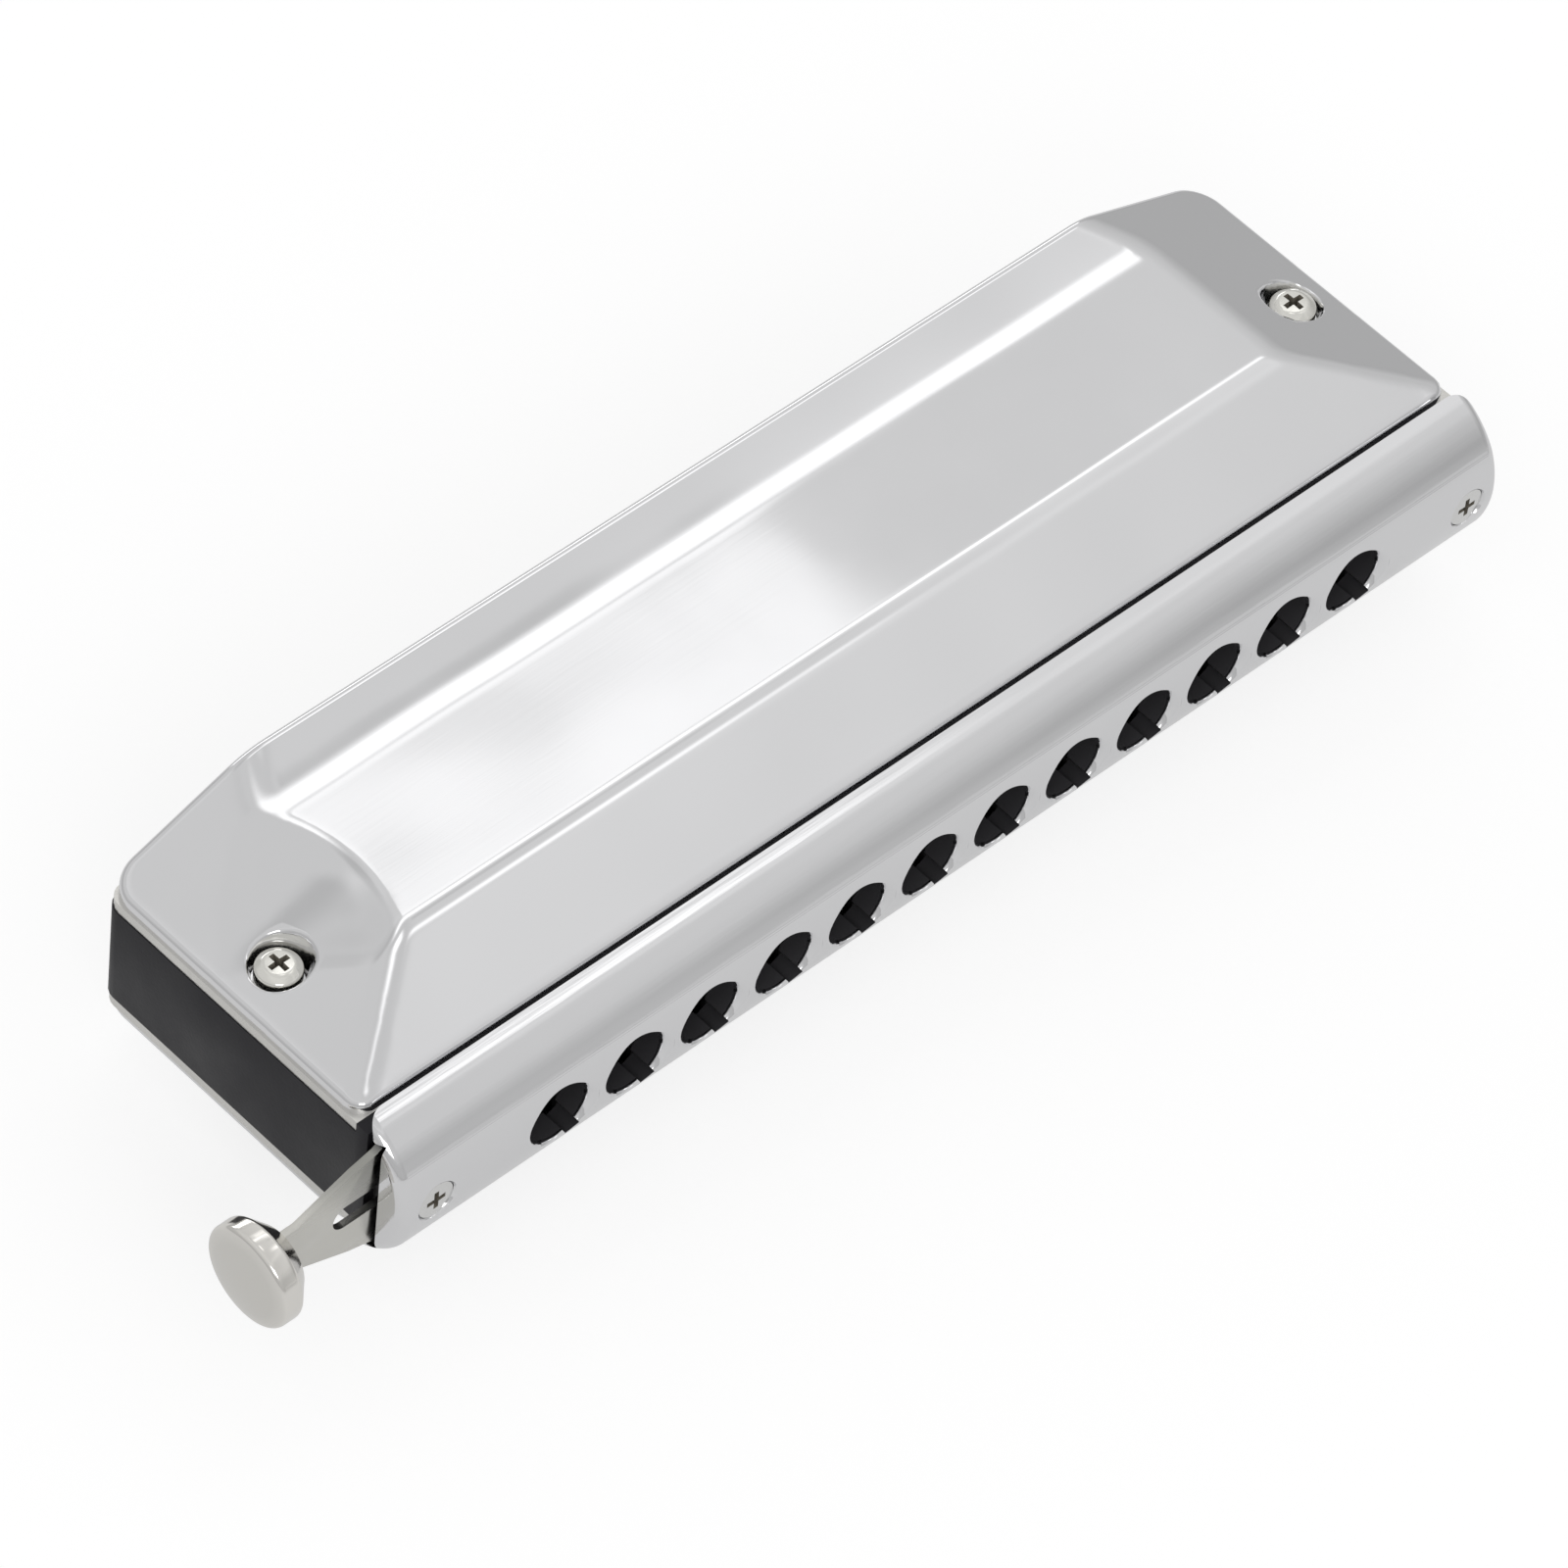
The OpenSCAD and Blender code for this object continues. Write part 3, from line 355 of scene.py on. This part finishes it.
# The wind savers: strips of thin milky film that are glued at one end over the slots which a
# breath leaves idle, so that no air is lost through them.
film, tree, shader, place = new_material("valve_film")
haze = noise(tree, place, 420, 2)
tint = mixed(tree, haze, (0.62, 0.62, 0.58), (0.82, 0.82, 0.80))
tree.links.new(tint, shader.inputs["Base Color"])
tree.links.new(spread(tree, haze, low=0.3, high=0.5), shader.inputs["Roughness"])
finish_nodes(film, "outer_valves_upper", "outer_valves_lower",
             "inner_valves_upper", "inner_valves_lower")

# The plate screws and the inserts: small nickel screws hold the reed plates down, and brass
# inserts pressed in the comb take the longer screws of covers and mouthpiece.
screw_nickel = milled("screw_nickel", (0.70, 0.67, 0.62), 0.22, (1, 1, 1), 700, 0.3)
insert_brass = milled("insert_brass", (0.62, 0.46, 0.24), 0.32, (1, 1, 1), 900, 0.4)
finish_nodes(screw_nickel, "plate_screws_upper", "plate_screws_lower")
finish_nodes(insert_brass, "cover_inserts", "mouthpiece_inserts")

# The slide's housing: the slide runs in a sheet metal casing behind the mouthpiece, and rubber
# sleeves on the mouthpiece screws stop it at both ends.
# Painted shade: the casing and back plate are a near black grey that stands for the dark slot and the
# insides of the blow holes.
shaded_casing_metal = milled("shaded_casing_metal", (0.13, 0.13, 0.13), 0.45, (0.1, 1, 1), 900, 0.3)
finish_nodes(shaded_casing_metal, "slide_casing", "slide_back_plate")
finish_nodes(moulded("sleeve_rubber", (0.03, 0.03, 0.03), 0.6, 0.3, 0.5), "slide_bumpers")

# The return spring: a hairpin of wire round a pin in the comb, which pushes the slide back out.
# Its coil stays where it is, and its leg is a piece of its own here.
leg_x, leg_y, leg_z = 58.3, 13.45, 0.9  # the leg lies before these two, and above the third


def finished(form, name):
    """Makes an object of a form whose faces all look outwards."""
    bmesh.ops.recalc_face_normals(form, faces=form.faces)
    mesh = bpy.data.meshes.new(name)
    form.to_mesh(mesh)
    form.free()
    return new_object(name, mesh)


finish_nodes(screw_nickel, "spring_pin")
spring_steel = milled("spring_steel", (0.50, 0.50, 0.52), 0.25, (1, 1, 1), 1200, 0.3)
for name, leg in (("spring_coil", False), ("spring_leg", True)):
    form = bmesh.new()
    form.from_mesh(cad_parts["slide_spring"].data)
    bmesh.ops.remove_doubles(form, verts=form.verts, dist=weld)
    other = []
    for face in form.faces:
        x, y, z = (face.calc_center_median() - nose) * 1000
        if (x < leg_x and y < leg_y and z > leg_z) != leg:
            other.append(face)
    bmesh.ops.delete(form, geom=other, context="FACES")
    bmesh.ops.holes_fill(form, edges=form.edges, sides=12)
    piece = finished(form, name)
    smooth(piece, 50)
    piece.data.materials.append(spring_steel)
    if leg:
        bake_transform(piece)
    else:
        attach(piece, "body")
    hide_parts("slide_spring")

# The slide: a flat nickelled plate with two rows of windows and a handle that reaches out to the
# button. The handle has painted shade that darkens it towards its upper edge near the mouthpiece, and
# the part inside the mouthpiece is painted dark grey as painted shade.
slide = softened("slide", "slide_plate", 0.1, 3)
slide_nickel = milled("slide_nickel", (0.68, 0.67, 0.63), 0.24, (0.1, 1, 1), 600, 0.12)
inside_shade_from, inside_shade_to = -0.0625, -0.0615
shade_way, shade_from, shade_to = (0.6, 0, 0.8), -0.0285, -0.0215


def over_colour(material, factor, colour):
    """Lays a colour over the one that a material has, by a factor."""
    tree = material.node_tree
    base = tree.nodes["Principled BSDF"].inputs["Base Color"]
    tree.links.new(mixed(tree, factor, base.links[0].from_socket, colour), base)


tree = slide_nickel.node_tree
place = node(tree, "ShaderNodeTexCoord").outputs["Object"]
along = node(tree, "ShaderNodeSeparateXYZ", {0: place}).outputs["X"]
across = vector_maths(tree, "DOT_PRODUCT", place, shade_way).outputs["Value"]
# Painted shade: the handle's colour is mixed to a darker grey towards its upper edge near the
# mouthpiece.
over_colour(slide_nickel, spread(tree, across, shade_from, shade_to, curve="SMOOTHSTEP"),
            (0.40, 0.40, 0.37))
# Painted shade: the part of the slide inside the mouthpiece is painted dark grey.
over_colour(slide_nickel, spread(tree, along, inside_shade_from, inside_shade_to), (0.13, 0.13, 0.13))
slide.data.materials.append(slide_nickel)
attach(slide, "slide")

# The button: a turned and polished cap with a domed face, a plain rim and a cone behind it, pressed
# on the slide's tongue. Its face is painted a little darker than the rim, as painted shade.


def polished(name, colour, roughness, wave, wave_size, scratch):
    """Plated metal: mirror bright, with the faint waves of pressed sheet, hairlines and wipes."""
    made, tree, shader, place = new_material(name)
    shader.inputs["Metallic"].default_value = 1
    patches = noise(tree, place, 60, 3)
    tint = mixed(tree, patches, shaded(colour, 0.965), colour)
    wiped = spread(tree, patches, 0.3, 0.7, roughness * 0.8, roughness * 1.3)
    waves = bumped(tree, noise(tree, place, 1000 / wave_size, 1), 1.0, wave / 1000)
    along = node(tree, "ShaderNodeMapping", {"Vector": place, "Scale": (40, 900, 900)}).outputs[0]
    hairs = bumped(tree, noise(tree, along, 3, 4), scratch, 0.00002, Normal=waves)
    tree.links.new(tint, shader.inputs["Base Color"])
    tree.links.new(wiped, shader.inputs["Roughness"])
    tree.links.new(hairs, shader.inputs["Normal"])
    return made


def turned(name, outline, place, axis, segments=64):
    """A turned piece: (radius, height) points spun round an axis, with both ends closed."""
    form = bmesh.new()
    aside = Vector((0, 0, 1)) if abs(axis.z) < 0.5 else Vector((1, 0, 0))
    one = axis.cross(aside).normalized()
    two = axis.cross(one)
    spokes = [one * math.cos(a) + two * math.sin(a)
              for a in [2 * math.pi * i / segments for i in range(segments)]]
    rows = []
    for radius, height in outline:
        centre = in_frame(*place) + axis * height / 1000
        if radius < 1e-6:
            rows.append([form.verts.new(centre)])
            continue
        rows.append([form.verts.new(centre + spoke * radius / 1000) for spoke in spokes])
    for low, high in zip(rows, rows[1:]):
        for i in range(segments):
            j = (i + 1) % segments
            corners = [low[i % len(low)], low[j % len(low)],
                       high[j % len(high)], high[i % len(high)]]
            corners = [c for n, c in enumerate(corners) if c not in corners[:n]]
            if len(corners) > 2:
                form.faces.new(corners)
    for row in (rows[0], rows[-1]):
        if len(row) > 1:
            form.faces.new(row)
    return finished(form, name)


def rounded_outline(points, radii, steps=6):
    """Corners of a (radius, height) outline rounded by arcs, each by its own radius."""
    made = []
    for i, (point, radius) in enumerate(zip(points, radii)):
        if radius <= 0:
            made.append(point)
            continue
        here = Vector(point)
        before = (Vector(points[i - 1]) - here).normalized()
        after = (Vector(points[i + 1]) - here).normalized()
        half = before.angle(after) / 2
        reach = radius / math.tan(half)
        centre = here + (before + after).normalized() * radius / math.sin(half)
        first, last = here + before * reach - centre, here + after * reach - centre
        sweep = first.angle_signed(last)
        for s in range(steps + 1):
            turn = -sweep * s / steps
            spoke = Vector((first.x * math.cos(turn) - first.y * math.sin(turn),
                            first.x * math.sin(turn) + first.y * math.cos(turn)))
            made.append(tuple(centre + spoke))
    return made


button_r, button_end, button_y = 5.3, -80.6, 4.35
neck_r, cone_h, rim_h, face_h, dome_h = 3.32, 1.9, 3.95, 4.6, 0.65
face_shade_from, face_shade_to = -0.0767, -0.0772
dome = [(button_r * (1 - i / 12), face_h - dome_h * (1 - i / 12) ** 2) for i in range(3, 13)]
cap = rounded_outline([(0, 0), (neck_r, 0), (button_r, cone_h), (button_r, rim_h), dome[0]],
                      [0, 0.4, 0.6, 0.65, 0])
button = turned("button_cap", cap + dome[1:], (button_end, button_y, 0), Vector((-1, 0, 0)), 128)
smooth(button, 60)
button_nickel = polished("button_nickel", (0.84, 0.82, 0.78), 0.11, 0.05, 9, 0.3)
tree = button_nickel.node_tree
place = node(tree, "ShaderNodeTexCoord").outputs["Object"]
along = node(tree, "ShaderNodeSeparateXYZ", {0: place}).outputs["X"]
# Painted shade: the face's colour is mixed to a darker grey than the rim's.
over_colour(button_nickel, spread(tree, along, face_shade_from, face_shade_to), (0.70, 0.685, 0.65))
button.data.materials.append(button_nickel)
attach(button, "slide")
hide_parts("slide_button")

# The mouthpiece: one bar with a rounded nose and two flatter shoulders, milled out at the back for
# the slide, then polished and plated. Its twelve blow holes have edges that the polishing has
# flared, and each has a small notch at its lower side.
nose_r, crease_z = 11.0, 4.7
crease_y = nose_r - math.sqrt(nose_r ** 2 - crease_z ** 2)
shoulder_r, shoulder_y, shoulder_z = 10.0, 9.7209, -0.2922
mouth_half, mouth_depth, mouth_top = 69.85, 6.3, 9.1
end_round, end_bends = 1.2, 8
corner_r = 2.5
hole_r, hole_flare, hole_pitch = 3.4, 1.0, 9.2
holes = [(i - 5.5) * hole_pitch for i in range(12)]
tail_half, tail_reach, tail_turn = 0.8, 4.2, -28  # the notch, turned from straight down
tail_sin, tail_cos = 0.469, 0.883
mouth_screw_x = 65.7
lean, lean_at, lean_width = 6.5, 65, 5  # degrees, how far and where the shine leans


def mouth_outline(inset):
    """The bar's section as (y, z) points, drawn in by the inset at its ends' rounding."""
    points = [(mouth_depth, mouth_top - inset)]
    first = math.atan2(mouth_top - shoulder_z, mouth_depth - shoulder_y)
    last = math.atan2(crease_z - shoulder_z, crease_y - shoulder_y)
    arc = shoulder_r - inset
    for part in [i / 18 for i in range(1, 18)] + [0.98, 1]:
        turn = first + (last - first) * part
        points.append((min(shoulder_y + arc * math.cos(turn), mouth_depth - 0.05),
                       shoulder_z + arc * math.sin(turn)))
    upper = len(points)
    reach = math.asin(crease_z / nose_r)
    arc = nose_r - inset
    for part in [0.015] + [i / 20 for i in range(1, 20)] + [0.985]:
        turn = math.pi - reach + 2 * reach * part
        points.append((nose_r + arc * math.cos(turn), arc * math.sin(turn)))
    return points + [(y, -z) for y, z in points[upper - 1::-1]]


def lofted(name, rows):
    """A closed solid through rows of places, each with as many places as the next."""
    form = bmesh.new()
    rows = [[form.verts.new(place) for place in row] for row in rows]
    for one, two in zip(rows, rows[1:]):
        for i in range(len(one)):
            j = (i + 1) % len(one)
            form.faces.new((one[i], one[j], two[j], two[i]))
    form.faces.new(rows[0])
    form.faces.new(rows[-1][::-1])
    return finished(form, name)


def upright(name, plan, low, high):
    """A solid over a plan of (x, y) points between two heights."""
    return lofted(name, [[in_frame(x, y, z) for x, y in plan] for z in (low, high)])


def cutter_box(name, low, high):
    """A box between two opposite corners."""
    bpy.ops.object.select_all(action="DESELECT")
    bpy.ops.mesh.primitive_cube_add(size=1, location=(0, 0, 0))
    made = bpy.context.object
    made.name = name
    low, high = in_frame(*low), in_frame(*high)
    for vert in made.data.vertices:
        vert.co = Vector([a + (b - a) * (c + 0.5) for a, b, c in zip(low, high, vert.co)])
    return made


def combine(operation, obj, *tools):
    """Cuts tools out of a piece or adds them to it, and deletes them."""
    for tool in tools:
        apply(obj, "BOOLEAN", object=tool, operation=operation, solver="EXACT")
        bpy.data.objects.remove(tool)
    return obj


bends = [math.radians(90 * i / end_bends) for i in range(end_bends + 1)]
stations = [(-mouth_half + end_round * (1 - math.cos(a)), end_round * (1 - math.sin(a)))
            for a in bends]
stations += [(-x, inset) for x, inset in reversed(stations)]
mouth = lofted("mouthpiece_bar", [[in_frame(x, y, z) for y, z in mouth_outline(inset)]
                                  for x, inset in stations])
inwards = Vector((0, 1, 0))
corner_x, corner_y = mouth_half - corner_r, mouth_depth - corner_r
for end in (-1, 1):
    plan = [(end * (mouth_half + 1), mouth_depth + 1), (end * (mouth_half + 1), corner_y)]
    plan += [(end * (corner_x + corner_r * math.cos(math.radians(a))),
              corner_y + corner_r * math.sin(math.radians(a))) for a in range(0, 91, 9)]
    plan += [(end * corner_x, mouth_depth + 1)]
    combine("DIFFERENCE", mouth, upright("corner", plan, -20, 20))
combine("DIFFERENCE", mouth, cutter_box("slide_room", (-80, 3.4, -7.3), (67.8, 8, 7.3)),
        cutter_box("rail_room", (-80, 5.6, -7.25), (80, 8, 7.25)))
flare = [(hole_r + hole_flare * (1 - math.sin(a)), hole_flare * (1 - math.cos(a)))
         for a in [math.radians(90 * i / 7) for i in range(8)]]
hole_outline = [(hole_r + hole_flare, -2)] + flare + [(hole_r, 5)]
for x in holes:
    hole = turned("blow_hole", hole_outline, (x, 0.02, 0), inwards, 72)
    tail = cutter_box("tail", (-tail_half, -2, -tail_reach), (tail_half, 5, 0))
    tail.data.transform(Matrix.Translation(in_frame(x, 0, 0))
                        @ Matrix.Rotation(math.radians(tail_turn), 4, "Y")
                        @ Matrix.Translation(-in_frame(0, 0, 0)))
    combine("DIFFERENCE", mouth, combine("UNION", hole, tail))
sink_outline = [(2.35, -2), (2.35, -0.1), (2.2, 0.12), (2.15, 0.3), (1.05, 1.4), (1.05, 8)]
for end in (-1, 1):
    sink = turned("sink", sink_outline, (end * mouth_screw_x, 0.02, 0), inwards, 64)
    combine("DIFFERENCE", mouth, sink)
smooth(mouth, 40)


def mouth_normal(place):
    """The polished bar's own direction at a point of its outside, leaned near the top."""
    y, z = (place.y - nose.y) * 1000, (place.z - nose.z) * 1000
    if abs(z) < crease_z:
        return Vector((0, y - nose_r, z)).normalized()
    turn = math.atan2(abs(z) - shoulder_z, shoulder_y - y)
    turn += math.radians(lean) * math.exp(-((math.degrees(turn) - lean_at) / lean_width) ** 2)
    return Vector((0, -math.cos(turn), math.copysign(math.sin(turn), z)))


# The outside takes its shading from the bar's own arcs, and a point on the crease looks halfway
# between nose and shoulder. The bores and what lies behind the plating are painted near black, as
# painted shade.
bar = mouth.data
directions = [(0, 0, 0)] * len(bar.loops)
plain_half = mouth_half - end_round
crease_way = (-0.5, 0.866)
for face in bar.polygons:
    middle = face.center
    outside = face.normal.dot(mouth_normal(middle)) > 0.96
    if outside and abs(middle.x - nose.x) * 1000 < plain_half:
        for index in face.loop_indices:
            place = bar.vertices[bar.loops[index].vertex_index].co
            height = place.z - nose.z
            if abs(abs(height) * 1000 - crease_z) < 0.02:
                directions[index] = Vector((0, crease_way[0],
                                            math.copysign(crease_way[1], height)))
            else:
                directions[index] = mouth_normal(place)
bar.normals_split_custom_set(directions)
mouth.data.materials.append(polished("mouth_plating", (0.80, 0.80, 0.81), 0.08, 0.10, 22, 0.35))
# Painted shade: the bores and the faces behind the plating take a near black material for the dark
# inside.
mouth.data.materials.append(moulded("painted_shade_bore", (0.055, 0.054, 0.058), 0.4, 0.3, 0.3))
for face in bar.polygons:
    x, y, z = (face.center - nose) * 1000
    across = min((x - hole_x for hole_x in holes), key=abs)
    down, aside = tail_sin * across - tail_cos * z, tail_cos * across + tail_sin * z
    in_tail = down > 3.3 and abs(aside) < 0.83
    in_hole = (0.3 if in_tail else hole_flare) < y < 5 and math.hypot(across, z) < 4.3
    in_room = y > 3.3 and abs(z) < 7.29 and abs(x) < 67.7
    if in_hole or in_room:
        face.material_index = 1
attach(mouth, "body")
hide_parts("mouthpiece")

# The mouthpiece screws: one at each end of the bar, with a countersunk head and a cross recess,
# sunk a little below the plating. Dirt has gathered in the recesses.
sunk_reach, sunk_arm = 2.5, 0.6
recess_depth = 1.1


def recess(place, axis, size, width, depth):
    """A cutter for a cross recess: a plug with four arms that narrow towards the bottom."""
    one = Vector((1, 0, 0))
    two = axis.cross(one)
    rows = []
    for arm, half, height in ((size, width, 0.4), (size * 0.55, width * 0.7, -depth)):
        middle = in_frame(*place) + axis * height / 1000
        rows.append([middle + (one * (u * c - v * s) + two * (u * s + v * c)) / 2000
                     for c, s in ((1, 0), (0, 1), (-1, 0), (0, -1))
                     for u, v in ((arm, -half), (arm, half), (half, half))])
    return lofted("recess", rows)


def finished_screw(name, outline, place, axis, head_z, size, width, depth, plating):
    """A turned screw with a cross recess, whose walls have the stain of its dirt."""
    screw = turned(name, outline, place, axis, 60)
    tip = Vector(place) + axis * head_z
    combine("DIFFERENCE", screw, recess(tuple(tip), axis, size, width, depth))
    smooth(screw, 35)
    screw.data.materials.append(plating)
    screw.data.materials.append(recess_stain)
    for face in screw.data.polygons:
        height = (face.center - in_frame(*tip)).dot(axis) * 1000
        out = (face.center - in_frame(*place)).cross(axis).length * 1000
        sunk_in = -depth - 0.01 < height < -0.02 and out < size / 2 + 0.01
        if sunk_in and abs(face.normal.dot(axis)) < 0.9:
            face.material_index = 1
    return screw


def merged(name, parts, *nodes):
    """Joins like pieces to one object that stands for their CAD nodes."""
    bpy.ops.object.select_all(action="DESELECT")
    for part in parts:
        part.select_set(True)
    bpy.context.view_layer.objects.active = parts[0]
    bpy.ops.object.join()
    parts[0].name = name
    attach(parts[0], "body")
    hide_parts(*nodes)


recess_stain = moulded("recess_stain", (0.22, 0.20, 0.165), 0.5, 0.2, 0.3)
sunk_plating = polished("sunk_plating", (0.77, 0.77, 0.76), 0.12, 0.02, 2, 0.5)
outwards = Vector((0, -1, 0))
sunk = rounded_outline([(0, -12), (1, -12), (1, -1.35), (2.05, -0.3), (2.05, -0.25), (0, -0.2)],
                       [0, 0, 0, 0, 0.05, 0], 3)
merged("mouthpiece_screw_pair",
       [finished_screw("sunk_screw", sunk, (end * mouth_screw_x, 0, 0), outwards, -0.2,
                       sunk_reach, sunk_arm, recess_depth, sunk_plating) for end in (-1, 1)],
       "mouthpiece_screws")

# The two covers: chromed sheet pressed in one stroke, with a flat top between a front slope, a
# raised back band and two sloping ends. A shallow thumb hollow by the button bites into the flat
# top, and each end has a dish that sinks a screw. The back edge is turned down over the sound slot.
sheet = 0.55
lip_z, top_z = 8.3, 13.4
cover_end_x, cover_front_y = 69.2, 7.3
front_slope, end_slope = 0.4857, 0.38
band_y, band_slope, band_hollow, band_foot = 35.3, 0.13, 0.0138, 0.21
hollow_x, hollow_y, hollow_z, hollow_slope = -69.97, 26.55, 8.45, 0.273
hollow_rim, hollow_rim_slope = 16.9, 0.45
screw_at = (64.2, 23.8)
dish_floor, dish_r, dish_slope = 7.75, 2.45, 3.8
plan_x, plan_front, plan_back = 68.05, 8.45, 40.85  # the sheet is flat so far, then folds down
front_corner, back_corner = 0.85, 2.35
overhang, fold_r, fold_rows = 1.15, 0.9, 8
slope_step = 0.3  # the sheet's slope at its outline is taken over this length
rim_z, back_drop, back_slot_x = 7.2, 1.4, 60.2


def lower_of(a, b, blend):
    """The lower of two heights, with a soft fold where they meet."""
    near = max(blend - abs(a - b), 0) / blend
    return min(a, b) - near * near * blend / 4


def higher_of(a, b, blend):
    return -lower_of(-a, -b, blend)


def cover_height(x, y):
    """The height of the pressed sheet's outer face, before its edges are folded down."""
    across = lower_of(lip_z + (y - cover_front_y) * front_slope, top_z, 0.55)
    behind = y - band_y
    if behind > 0:
        band = band_slope * behind + band_hollow * behind ** 2
    else:
        band = band_foot * behind
    across = higher_of(across, top_z + band, 0.3)
    along = lip_z + (cover_end_x - abs(x)) * end_slope
    height = lower_of(across, along, 0.6 if x > 0 else 0.9)
    if x < 0:
        reach = math.hypot(x - hollow_x, y - hollow_y)
        hollow = higher_of(hollow_z + hollow_slope * reach,
                           top_z + (reach - hollow_rim) * hollow_rim_slope, 0.4)
        height = lower_of(height, hollow, 0.35)
    out = math.hypot(abs(x) - screw_at[0], y - screw_at[1])
    return lower_of(height, dish_floor + max(out - dish_r, 0) * dish_slope, 0.5)


def steps(*runs):
    """Grid lines from runs of (start, end, spacing)."""
    lines = []
    for start, end, spacing in runs:
        count = max(1, round((end - start) / spacing))
        lines += [start + (end - start) * i / count for i in range(count)]
    return lines + [runs[-1][1]]


ring = [0.0, 0.8, 1.6, 2.15, 2.35, 2.45, 2.57, 2.7, 2.83, 2.96, 3.09, 3.22, 3.35, 3.5, 3.65, 3.85]
ring_edge = 3.86
grid_x = steps((0, 46, 2.3), (46, 60.35, 0.41))
grid_x += [screw_at[0] - r for r in ring[-2:0:-1]] + [screw_at[0] + r for r in ring]
grid_x = [-x for x in grid_x[:0:-1]] + grid_x
grid_y = steps((plan_front, 16.4, 0.42), (16.4, 19.2, 0.28), (19.2, 19.95, 0.375))[:-1]
grid_y += [screw_at[1] - r for r in ring[:0:-1]] + [screw_at[1] + r for r in ring]
grid_y += steps((27.65, 33.6, 0.6), (33.6, 37.2, 0.3), (37.2, plan_back, 0.42))[1:]


def cover_spot(x, y):
    """Moves a grid point, so that the grid runs in circles round screws and plan corners."""
    for end in (-1, 1):
        dx, dy = x - end * screw_at[0], y - screw_at[1]
        square = max(abs(dx), abs(dy))
        if 1e-6 < square < ring_edge:
            pull = min(1, (ring_edge - square) / 0.6)
            scale = square / math.hypot(dx, dy) * pull + 1 - pull
            return end * screw_at[0] + dx * scale, screw_at[1] + dy * scale
    for end in (-1, 1):
        for edge, turn, radius in ((plan_front, 1, front_corner), (plan_back, -1, back_corner)):
            u = (end * x - (plan_x - radius)) / radius
            v = ((edge + turn * radius) - y) * turn / radius
            if u > 0 and v > 0:
                u, v = u * math.sqrt(1 - v * v / 2), v * math.sqrt(1 - u * u / 2)
                return (end * (plan_x - radius + u * radius),
                        edge + turn * radius - turn * v * radius)
    return x, y


def sheet_point(x, y):
    """The point of the pressed sheet for a grid point."""
    x, y = cover_spot(x, y)
    return x, y, cover_height(x, y)


def outward(x, y):
    """The direction that leaves the cover's plan at a point of its outline."""
    dx = max(abs(x) - (plan_x - (front_corner if y < screw_at[1] else back_corner)), 0)
    dy = max(plan_front + front_corner - y, 0) - max(y - (plan_back - back_corner), 0)
    return Vector((math.copysign(dx, x), -dy, 0)).normalized()


def fold_spot(start, row):
    """Where a point of the outline goes in a row of the rim's fold; the last row ends the rim."""
    way = outward(start.x, start.y)
    inner = start - way * slope_step
    slope = (start.z - cover_height(inner.x, inner.y)) / slope_step
    corner_z = start.z + slope * overhang
    if row == fold_rows:
        spot = start + way * overhang
        at_slot = way.y > 0.7 and abs(start.x) < back_slot_x
        spot.z = corner_z - back_drop if at_slot else rim_z
        return spot
    tilt = math.atan(-slope)
    turn = tilt + (math.pi / 2 - tilt) * row / (fold_rows - 1)
    centre_z = corner_z + slope * (-fold_r + fold_r * math.sin(tilt)) - fold_r * math.cos(tilt)
    spot = start + way * (overhang - fold_r + fold_r * math.sin(turn))
    spot.z = centre_z + fold_r * math.cos(turn)
    return spot


form = bmesh.new()
grid = [[form.verts.new(sheet_point(x, y)) for x in grid_x] for y in grid_y]
for low, high in zip(grid, grid[1:]):
    for i in range(len(low) - 1):
        form.faces.new((low[i], low[i + 1], high[i + 1], high[i]))
rim = grid[0][:-1] + [line[-1] for line in grid[:-1]]
rim += grid[-1][:0:-1] + [line[0] for line in grid[:0:-1]]
starts = [vert.co.copy() for vert in rim]
for row in range(fold_rows + 1):
    fresh = [form.verts.new(fold_spot(start, row)) for start in starts]
    for i in range(len(rim)):
        form.faces.new((rim[i], rim[i - 1], fresh[i - 1], fresh[i]))
    rim = fresh
for vert in form.verts:
    vert.co = in_frame(*vert.co)
cover = finished(form, "cover_shell_upper")
if sum(face.normal.z for face in cover.data.polygons) < 0:
    cover.data.flip_normals()
apply(cover, "SOLIDIFY", thickness=sheet / 1000, offset=-1, use_even_offset=True)
smooth(cover, 50)
cover.data.materials.append(polished("cover_chrome", (0.80, 0.80, 0.81), 0.09, 0.35, 30, 0.05))
under = new_object("cover_shell_lower", cover.data.copy())
for vert in under.data.vertices:
    vert.co.z = 2 * nose.z - vert.co.z
under.data.flip_normals()
for piece, node_name in ((cover, "cover_upper"), (under, "cover_lower")):
    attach(piece, "body")
    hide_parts(node_name)

# The cover screws: pan heads with a domed top and a cross recess, one in the dish at each end of
# a cover. They go through the sheet and the reed plate into the comb's brass inserts.
pan_seat, pan_top, pan_reach, pan_arm = 7.76, 2.15, 2.5, 0.62
pan_plating = polished("pan_plating", (0.86, 0.85, 0.80), 0.17, 0.02, 2, 0.5)
pan = rounded_outline([(0, -8.4), (1, -8.4), (1, 0), (2.3, 0), (2.3, 1.6), (1.5, 2.17), (0, 2.25)],
                      [0, 0, 0, 0.15, 0.45, 0.8, 0])
for name, z in (("upper", 1), ("lower", -1)):
    merged(f"cover_screw_pair_{name}",
           [finished_screw("pan_screw", pan, (end * screw_at[0], screw_at[1], z * pan_seat),
                           Vector((0, 0, z)), pan_top, pan_reach, pan_arm, recess_depth,
                           pan_plating) for end in (-1, 1)], f"cover_screws_{name}")
